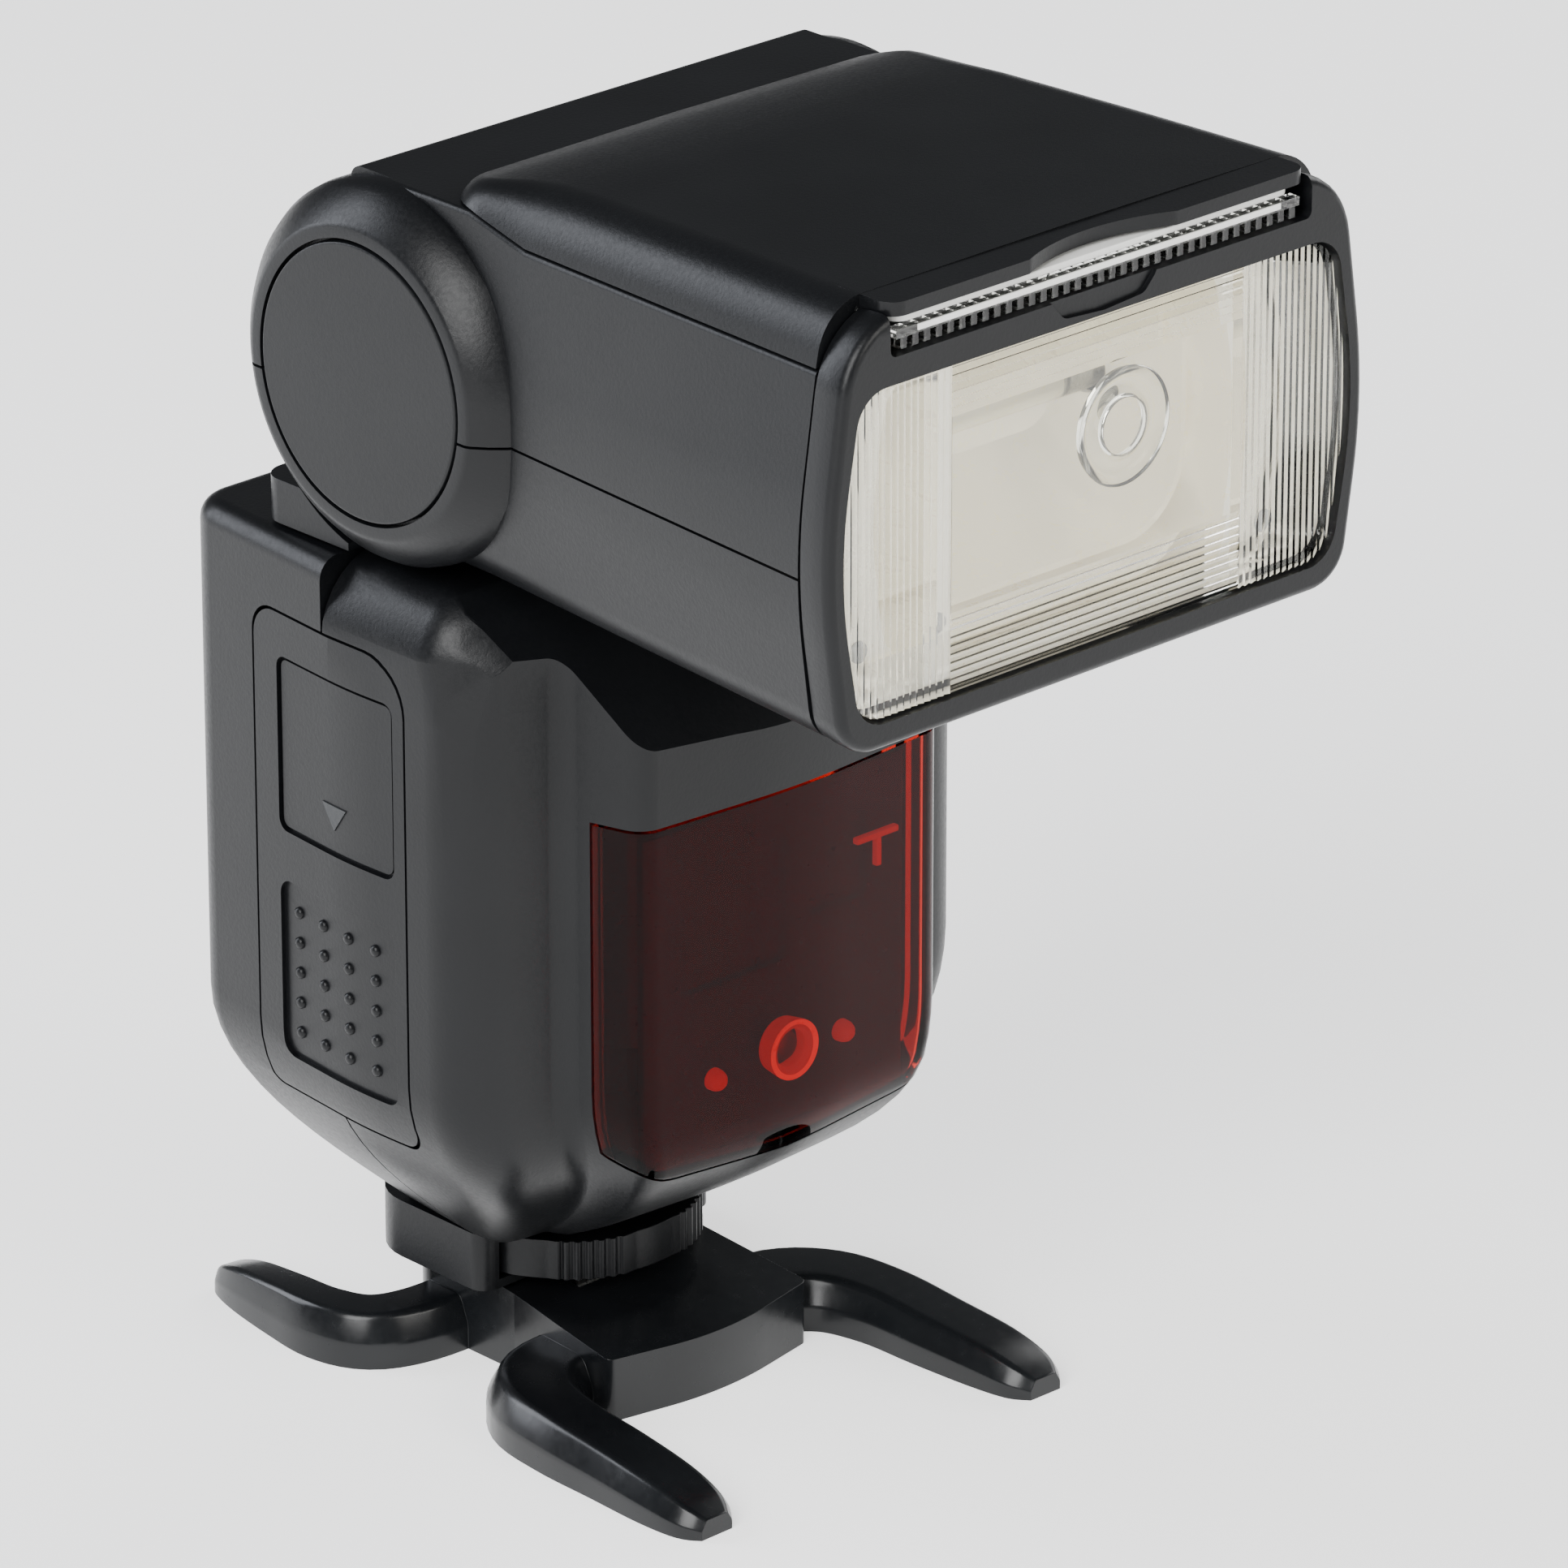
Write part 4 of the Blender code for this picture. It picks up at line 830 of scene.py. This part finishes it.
class FLASH_OT_lens(bpy.types.Operator):
    """Fresnel lens: upright prisms at the sides, level prisms above and below a clear middle"""
    bl_idname = "flash.lens"
    bl_label = "Fresnel lens"

    def execute(self, context):
        s = context.scene.flash_head
        front, back, pitch, depth = -69.9, -67.2, s.prism_pitch, s.prism_depth

        def saw(start, end, rising):
            points, at = [], start
            count = max(1, round((end - start) / pitch))
            step = (end - start) / count
            for _ in range(count):
                a, b = (front, front + depth) if rising else (front + depth, front)
                points += [(at, a), (at + step * 0.96, b)]
                at += step
            return points

        zones = []
        for sign in (-1, 1):
            teeth = [(sign * u, v) for u, v in saw(20.5, 35.9, True)]
            profile = [(sign * 20.5, back)] + teeth + [(sign * 35.9, back)]
            bar = slab("z", [Vector(p) for p in profile], 100, 142)
            zones.append(shaped(bar, ("INTERSECT", slab("y", lens_outline(), -75, -60))))
        teeth = saw(103.0, 112.0, False) + [(112.0, front), (132.6, front)] + saw(132.8, 138.8, True)
        profile = [(back, 103.0)] + [(v, u) for u, v in teeth] + [(back, 138.8)]
        bar = slab("x", [Vector(p) for p in profile], -20.45, 20.45)
        zones.append(shaped(bar, ("INTERSECT", slab("y", lens_outline(), -75, -60))))
        piece("lens", gather(*zones), LOOK["clear"], "head", "fresnel_lens", sharp=20)
        return {"FINISHED"}


class FLASH_OT_panels(bpy.types.Operator):
    """Sliding wide panel with its toothed front edge, and the white bounce card"""
    bl_idname = "flash.panels"
    bl_label = "Panel and card"

    def execute(self, context):
        sheet = slab("z", rounded([(-28.2, -68.6, 0), (28.2, -68.6, 0), (28.2, -22.0, 2), (-28.2, -22.0, 2)]),
                     141.6, 142.6)
        lip = box((-28.2, 28.2), (-70.0, -68.7), (142.9, 143.9))
        teeth = [box((-27.6 + 1.6 * i, -26.7 + 1.6 * i), (-69.9, -68.6), (141.7, 142.95)) for i in range(35)]
        panel = shaped(gather(sheet, *teeth), ("UNION", lip))
        piece("wide_panel_sheet", panel, LOOK["clear"], "wide_panel", "wide_panel", edge=0.08)
        edge = box((-25.4, 25.4), (-70.15, -69.95), (143.2, 143.85))
        piece("wide_panel_edge", edge, LOOK["white"], "wide_panel", edge=0.05)
        card = slab("z",
                    rounded([(-27.6, -69.4, 1.5), (27.6, -69.4, 1.5), (27.6, -22.6, 2), (-27.6, -22.6, 2)]),
                    144.2, 144.9)
        piece("card", card, LOOK["white"], "bounce_card", "bounce_card", edge=0.1)
        return {"FINISHED"}


class FLASH_OT_lamp(bpy.types.Operator):
    """Reflector, xenon tube and the cream lamp house round them"""
    bl_idname = "flash.lamp"
    bl_label = "Reflector and tube"

    def execute(self, context):
        centre = 121.2

        def bowl(y, half_x, half_z, radius=0.6):
            return [(p.x, y, p.y) for p in oblong(0, centre, half_x, half_z, half_z * radius, 8)]

        outer = [(-58.0, 23.2, 14.4), (-55, 22.9, 13.8), (-52.0, 22.6, 13.0), (-49, 22.2, 12.0),
                 (-46.0, 21.8, 10.6),
                 (-44, 21.4, 9.3), (-42.0, 20.8, 7.6), (-40.6, 19.8, 5.0)]
        inner = [(-59.0, 22.7, 14.0)] + [(y, x - 0.8, z - 0.8) for y, x,
                                         z in outer[1:7]] + [(-41.6, 18.9, 4.6)]
        holes = rod("x", (-40, 0, 0), 2.9, 0, 80, 40)
        bmesh.ops.translate(holes, vec=(0, -45.4, centre), verts=holes.verts)
        dish = cut(loft([bowl(*o) for o in outer]), loft([bowl(*i) for i in inner]), holes)
        # The dish takes the cream finish, so it emits painted light.
        piece("reflector_dish", dish, LOOK["cream"], "zoom_carriage", "reflector")
        tube = turned("x", (0, -45.4, centre),
                      [(-25, 0), (-25, 1.9), (-24.5, 2.4), (24.5, 2.4), (25, 1.9), (25, 0),
                                                (24.6, 0), (24.4, 1.6), (-24.4, 1.6), (-24.6, 0)], 48,
                      ring=True)
        piece("xenon_tube", tube, LOOK["clear"], "zoom_carriage", "flash_tube")
        ends = []
        for sign in (-1, 1):
            ends.append(turned("x", (0, -45.4, centre),
                               [(sign * 17.0, 0), (sign * 17.0, 0.8), (sign * 17.4, 1.2),
                                                         (sign * 20.6, 1.2), (sign * 20.6, 0.5),
                                (sign * 24.2, 0.5),
                                                         (sign * 24.2, 0)], 32))
        piece("tube_electrodes", gather(*ends), LOOK["steel"], "zoom_carriage")
        house = loft([[(p.x, -66.9, p.y) for p in lens_outline(-0.5)],
                      [(p.x, -65.9, p.y) for p in lens_outline(-2.0)],
                      [(p.x, -64.7, p.y) for p in lens_outline(-3.2)]], close=False)
        count = len(lens_outline())
        rim = [e for e in house.edges if e.is_boundary and abs(e.verts[0].co.y + 64.7) < 0.01]
        grown = bmesh.ops.extrude_edge_only(house, edges=rim)["geom"]
        points = [g for g in grown if isinstance(g, bmesh.types.BMVert)]
        for p in points:
            p.co.x *= 23.5 / 32.3
            p.co.z = centre + (p.co.z - AXIS_Z) * 14.8 / 14.6
            p.co.y = -64.35
        rim = [g for g in grown if isinstance(g, bmesh.types.BMEdge)]
        grown = bmesh.ops.extrude_edge_only(house, edges=[e for e in rim if e.is_boundary])["geom"]
        bmesh.ops.translate(house, vec=(0, 18.0, 0),
                            verts=[g for g in grown if isinstance(g, bmesh.types.BMVert)])
        boss = turned("y", (5.0, -67.3, 124.8),
                      [(0, 3.0), (0, 6.4), (0.7, 6.2), (1.2, 5.4), (1.4, 4.4), (1.0, 3.3)], 56,
                      ring=True)
        piece("lens_boss", boss, LOOK["clear"], "head")
        # The lining takes the cream finish too, so it carries the same painted glow.
        lining = piece("lamp_house", house, LOOK["cream"], "head")
        mod = lining.modifiers.new("wall", "SOLIDIFY")
        mod.thickness, mod.offset = 0.15 * MM, 1.0
        return {"FINISHED"}


# ------------------------------------------------------------------ foot and stand
class FLASH_OT_foot(bpy.types.Operator):
    """Foot housing and the knurled lock ring"""
    bl_idname = "flash.foot"
    bl_label = "Foot and lock ring"

    def execute(self, context):
        y = RING_CENTRE.y
        plan = rounded([(-17, 5.0, 2), (17, 5.0, 2), (17, 25.2, 7), (-17, 25.2, 7)])
        housing = shaped(slab("z", plan, 10.0, 16.7),
                         ("DIFFERENCE", rod("z", (0, y, 11.0), 15.6, 0, 5.2, 96)),
                         ("UNION", rod("z", (0, y, 10.2), 8, 0, 6.3, 64)),
                         ("DIFFERENCE", rod("z", (0, y - 5.6, 3), 1.3, 0, 12.4, 24)))
        piece("foot_body", housing, LOOK["abs"], "flash", "foot_housing", edge=0.35, segments=3)
        ring, teeth, lobes = [], 72, 6
        for k in range(teeth * 4):
            a = math.tau * k / (teeth * 4)
            lobe = math.cos(lobes * a)
            radius = 14.85 + 0.30 * min(max(lobe * 2, -1), 1)
            if lobe > 0.1 and k % 4 in (0, 1):
                radius -= 0.35
            ring.append(Vector((radius * math.cos(a), y + radius * math.sin(a))))
        wheel = cut(slab("z", ring, 11.3, 15.9), rod("z", (0, y, 8), 8.4, 0, 12, 72))
        piece("lock_wheel", wheel, LOOK["abs"], "lock_ring", "lock_ring", edge=0.12)
        return {"FINISHED"}


def through_points(stations, steps=5):
    """A smooth run of values through the stations."""
    run = []
    for i in range(len(stations) - 1):
        p0, p1 = stations[max(i - 1, 0)], stations[i]
        p2, p3 = stations[i + 1], stations[min(i + 2, len(stations) - 1)]
        for k in range(steps):
            t = k / steps
            run.append(tuple(0.5 * (2 * b + (c - a) * t + (2 * a - 5 * b + 4 * c - d) * t * t
                                    + (3 * b - a - 3 * c + d) * t ** 3) for a, b, c,
                             d in zip(p0, p1, p2, p3)))
    return run + [stations[-1]]


def leg(stations):
    """A leg through (x, y, width, height) stations: flat below, with a broad chamfer to a narrow top."""
    path, rings = through_points(stations), []
    for i, (x, y, width, height) in enumerate(path):
        before, after = path[max(i - 1, 0)], path[min(i + 1, len(path) - 1)]
        along = Vector((after[0] - before[0], after[1] - before[1])).normalized()
        across = Vector((-along.y, along.x))
        right = [(0.5, 0), (0.5, 0.40), (0.485, 0.52), (0.38, 0.88), (0.34, 0.95), (0.27, 1.0)]
        profile = right + [(-u, v) for u, v in reversed(right)]
        rings.append([(x + across.x * u * width, y + across.y * u * width, v * height) for u, v in profile])
    return loft(rings)


class FLASH_OT_stand(bpy.types.Operator):
    """Mini stand: plate, four legs, shoe and threaded insert"""
    bl_idname = "flash.stand"
    bl_label = "Mini stand"

    def execute(self, context):
        s = context.scene.flash_stand
        y = RING_CENTRE.y
        plan = rounded(both_sides([(0, -15.2, 60), (14.6, -12.4, 1), (13.4, 4.0, 3), (13.4, 21.4, 4),
                                   (0, 21.4, 0)]), 12)
        plate = slab("z", plan, 0, 9.7)
        slice_off(plate, Vector((0, -14.0, 7.2)), Vector((0, -2.5, 22.0)).normalized())
        front = [(10.0, -4.0, 10.6, 6.2), (17.0, -4.6, 11.2, 6.2), (21.6, -9.0, 10.4, 6.2),
                 (23.3, -16.0, 9.4, 6.0),
                 (23.6, -24.0, 9.2, 5.4), (24.0, -32.0, 8.8, 4.6), (24.2, -37.2, 7.4, 3.4),
                 (24.2, -39.6, 4.4, 2.2)]
        rear = [(9.0, 15.5, 8.0, 6.2), (17.0, 15.8, 8.0, 6.2), (22.0, 17.8, 7.8, 6.2), (24.0, 22.5, 7.2, 6.2),
                (23.8, 29.0, 6.4, 5.8), (23.0, 36.0, 5.6, 4.8), (22.4, 40.4, 4.2, 3.4),
                (22.2, 42.0, 2.4, 2.2)]
        steps = []
        for stations in (front, rear):
            for sign in (-1, 1):
                steps.append(("UNION", leg([(x * sign, *rest) for x, *rest in stations])))
        steps += [("DIFFERENCE", box((-9.7, 9.7), (1.0, 40), (6.0, 8.8))),
                  ("DIFFERENCE", box((-6.6, 6.6), (1.0, 40), (6.5, 12))),
                  ("DIFFERENCE", box((-1.6, 1.6), (3.0, 40), (4.6, 8))),
                  ("DIFFERENCE", rod("z", (0, y, -2), 4.9, 0, 5.8, 56))]
        base = shaped(plate, *steps)
        piece("stand", base, LOOK["gloss"], "stand", "stand_base", edge=s.edge_radius, segments=3, sharp=38)
        thread = [(0, 4.6), (3.2, 4.6)]
        at = 3.2
        while at > 0.45:
            thread += [(at, 3.1), (at - 0.22, 2.75), (at - 0.44, 3.1)]
            at -= 0.44
        insert = turned("z", (0, y, 0.2), thread + [(0, 3.1)], 56, ring=True)
        piece("thread_insert", insert, LOOK["brass"], "stand", "stand_insert")
        return {"FINISHED"}


class FLASH_OT_frame_finishes(bpy.types.Operator):
    """Gives the frame's own parts their finishes"""
    bl_idname = "flash.frame_finishes"
    bl_label = "Frame finishes"

    def execute(self, context):
        chosen = {"satin_black_abs": "abs", "gloss_black_plastic": "gloss", "dark_grey_plastic": "grey",
                  "clear_acrylic": "clear", "dark_red_acrylic": "red", "reflector_film": "cream",
                  "plated_steel": "steel", "turned_brass": "brass", "white_plastic": "white",
                  "circuit_board": "board", "black_rubber": "rubber"}
        for part in frame["record"]["subparts"]:
            mesh = NODES[part["node"]].data
            mesh.materials.clear()
            mesh.materials.append(LOOK[chosen[part["material_slot"]]])
        return {"FINISHED"}


# ------------------------------------------------------------------ stage
def aimed(obj, target):
    """Turns a light or camera so that it looks at a point."""
    obj.rotation_euler = (Vector(target) - obj.location).to_track_quat("-Z", "Y").to_euler()


def soft_light(name, place, size, power, colour, target=(0, 0, 0.08)):
    data = bpy.data.lights.new(name, "AREA")
    data.shape, data.size, data.size_y = "RECTANGLE", size[0], size[1]
    data.energy, data.color = power, linear(colour)[:3]
    lamp = bpy.data.objects.new(name, data)
    bpy.context.scene.collection.objects.link(lamp)
    lamp.location = place
    aimed(lamp, target)
    return lamp


class FLASH_OT_stage(bpy.types.Operator):
    """Pale floor, soft studio light and the camera"""
    bl_idname = "flash.stage"
    bl_label = "Stage"

    def execute(self, context):
        s = context.scene.flash_stage
        scene = context.scene
        bm = bmesh.new()
        bmesh.ops.create_grid(bm, x_segments=8, y_segments=8, size=4.0)
        mesh = bpy.data.meshes.new("floor")
        bm.to_mesh(mesh)
        bm.free()
        floor = bpy.data.objects.new("floor", mesh)
        floor.location.z = CAD_BOX[0].z
        scene.collection.objects.link(floor)
        mat, tree, shader = blank("matt white laminate", "")
        place = add_node(tree, "TexCoord").outputs["Object"]
        cloud = add_node(tree, "TexNoise", {"Vector": place, "Scale": 3.0, "Detail": 1.0})
        tone = add_node(tree, "Mix", {0: cloud.outputs["Fac"], 6: linear("#f1f1f1"), 7: linear("#f6f6f6")},
                        data_type="RGBA")
        tree.links.new(tone.outputs[2], shader.inputs["Base Color"])
        shader.inputs["Roughness"].default_value = 0.9
        shader.inputs["Specular IOR Level"].default_value = 0.1
        shader.inputs["Emission Color"].default_value = (1, 1, 1, 1)
        shader.inputs["Emission Strength"].default_value = s.floor_glow
        mesh.materials.append(mat)

        world = bpy.data.worlds.new("studio")
        world.use_nodes = True
        world.node_tree.nodes["Background"].inputs["Color"].default_value = linear("#eef1f5")
        world.node_tree.nodes["Background"].inputs["Strength"].default_value = s.room_light
        scene.world = world
        power = s.light_power
        soft_light("key", (-0.95, -0.35, 0.75), (0.7, 0.9), 16 * power, "#ffffff")
        soft_light("front_fill", (0.25, -1.3, 0.75), (0.9, 0.7), 9 * power, "#fdfbf6")
        soft_light("back_edge", (-0.55, 0.95, 0.55), (0.5, 0.9), 8 * power, "#f2f6ff")
        soft_light("right_fill", (1.1, 0.1, 0.6), (0.8, 0.8), 5 * power, "#ffffff")

        camera = bpy.data.objects.new("camera", bpy.data.cameras.new("camera"))
        scene.collection.objects.link(camera)
        camera.data.lens, camera.data.sensor_width = s.focal_length, 36.0
        camera.data.clip_end = 20.0
        target = Vector((0.02289, 0.0, 0.05965))
        a, e = math.radians(s.azimuth), math.radians(s.elevation)
        back = Vector((math.sin(a) * math.cos(e), -math.cos(a) * math.cos(e), math.sin(e)))
        camera.location = target + back * s.distance
        aimed(camera, target)
        scene.camera = camera
        return {"FINISHED"}


# ------------------------------------------------------------------ settings and panel
class FlashBody(bpy.types.PropertyGroup):
    wall: FloatProperty(name="Wall", description="Wall of the body shells, in millimetres", default=2.0,
                        min=1.0,
                        max=3.0)
    key_height: FloatProperty(name="Key height", description="How far keys stand proud, in millimetres",
                              default=0.8, min=0.4, max=1.0)
    bump_height: FloatProperty(name="Grip height", description="Height of the door's dimples, in millimetres",
                               default=0.5, min=0.2, max=0.6)


class FlashHead(bpy.types.PropertyGroup):
    prism_pitch: FloatProperty(name="Prism pitch", description="Width of one lens prism, in millimetres",
                               default=0.92, min=0.5, max=2.0)
    prism_depth: FloatProperty(name="Prism depth", description="Depth of the lens grooves, in millimetres",
                               default=0.32, min=0.1, max=0.8)


class FlashStand(bpy.types.PropertyGroup):
    edge_radius: FloatProperty(name="Edge radius",
                               description="Rounding of the stand's edges, in millimetres",
                               default=0.45, min=0.1, max=1.0)


class FlashFinishes(bpy.types.PropertyGroup):
    abs_dark: StringProperty(name="Shell, dark", description="Darker tone of the shells, sRGB",
                             default="#0b0c0e")
    abs_light: StringProperty(name="Shell, light", description="Lighter tone of the shells, sRGB",
                              default="#0f1012")
    abs_roughness: FloatProperty(name="Shell roughness", description="Micro roughness of the shells",
                                 default=0.35, min=0.1, max=0.9, subtype="FACTOR")
    abs_shine: FloatProperty(name="Shell shine", description="Strength of the shells' reflections",
                             default=0.24,
                             min=0.0, max=1.0, subtype="FACTOR")
    lens_colour: StringProperty(name="Lens", description="Tint of the clear mouldings, sRGB",
                                default="#fdfdf9")
    window_colour: StringProperty(name="Window", description="Tint of the signal window, sRGB",
                                  default="#a82017")
    # Strength of the painted glow on the reflector dish and the lamp house lining, which emit light though
    # they are no lamps.
    painted_reflector_glow: FloatProperty(name="Reflector glow",
                                  description="Light that the lens gathers in the reflector",
                                  default=0.34, min=0.0, max=1.0)


class FlashStage(bpy.types.PropertyGroup):
    azimuth: FloatProperty(name="Azimuth", description="Direction of view, in degrees", default=-43.407)
    elevation: FloatProperty(name="Elevation", description="Height of view, in degrees", default=22.871)
    distance: FloatProperty(name="Distance", description="Camera to target", default=1.15, unit="LENGTH")
    focal_length: FloatProperty(name="Focal length", description="Lens of the camera, in millimetres",
                                default=244.61, min=20.0, max=400.0)
    light_power: FloatProperty(name="Light power", description="Scale of all soft lights", default=1.35,
                               min=0.0)
    room_light: FloatProperty(name="Room light", description="Strength of the even light all round",
                              default=0.17,
                              min=0.0)
    floor_glow: FloatProperty(name="Floor glow", description="Lift that keeps the floor pale", default=1.05,
                              min=0.0)


STEPS = (FLASH_OT_frame_finishes, FLASH_OT_front_shell, FLASH_OT_rear_shell, FLASH_OT_battery_door,
         FLASH_OT_signal_window, FLASH_OT_port_cover, FLASH_OT_display, FLASH_OT_keys, FLASH_OT_neck,
         FLASH_OT_head_shells, FLASH_OT_top_cover, FLASH_OT_bezel, FLASH_OT_lens, FLASH_OT_panels,
         FLASH_OT_lamp, FLASH_OT_foot, FLASH_OT_stand, FLASH_OT_stage)


class FLASH_PT_panel(bpy.types.Panel):
    """Lists the settings and the steps that build the flash"""
    bl_label = "Speedlight flash"
    bl_idname = "FLASH_PT_panel"
    bl_space_type = "VIEW_3D"
    bl_region_type = "UI"
    bl_category = "Flash"

    def draw(self, context):
        for group in ("flash_body", "flash_head", "flash_stand", "flash_finishes", "flash_stage"):
            settings = getattr(context.scene, group)
            column = self.layout.column(align=True)
            for name in settings.bl_rna.properties.keys():
                if name not in ("rna_type", "name"):
                    column.prop(settings, name)
        for step in STEPS:
            self.layout.operator(step.bl_idname)


GROUPS = {"flash_body": FlashBody, "flash_head": FlashHead, "flash_stand": FlashStand,
          "flash_finishes": FlashFinishes, "flash_stage": FlashStage}


def register():
    for cls in (*GROUPS.values(), *STEPS, FLASH_PT_panel):
        bpy.utils.register_class(cls)
    for name, cls in GROUPS.items():
        setattr(bpy.types.Scene, name, PointerProperty(type=cls))


def unregister():
    for name in GROUPS:
        delattr(bpy.types.Scene, name)
    for cls in (FLASH_PT_panel, *reversed(STEPS), *GROUPS.values()):
        bpy.utils.unregister_class(cls)


def main():
    register()
    LOOK.update(make_finishes())
    for step in STEPS:
        group, name = step.bl_idname.split(".")
        getattr(getattr(bpy.ops, group), name)()


if __name__ == "__main__":
    main()
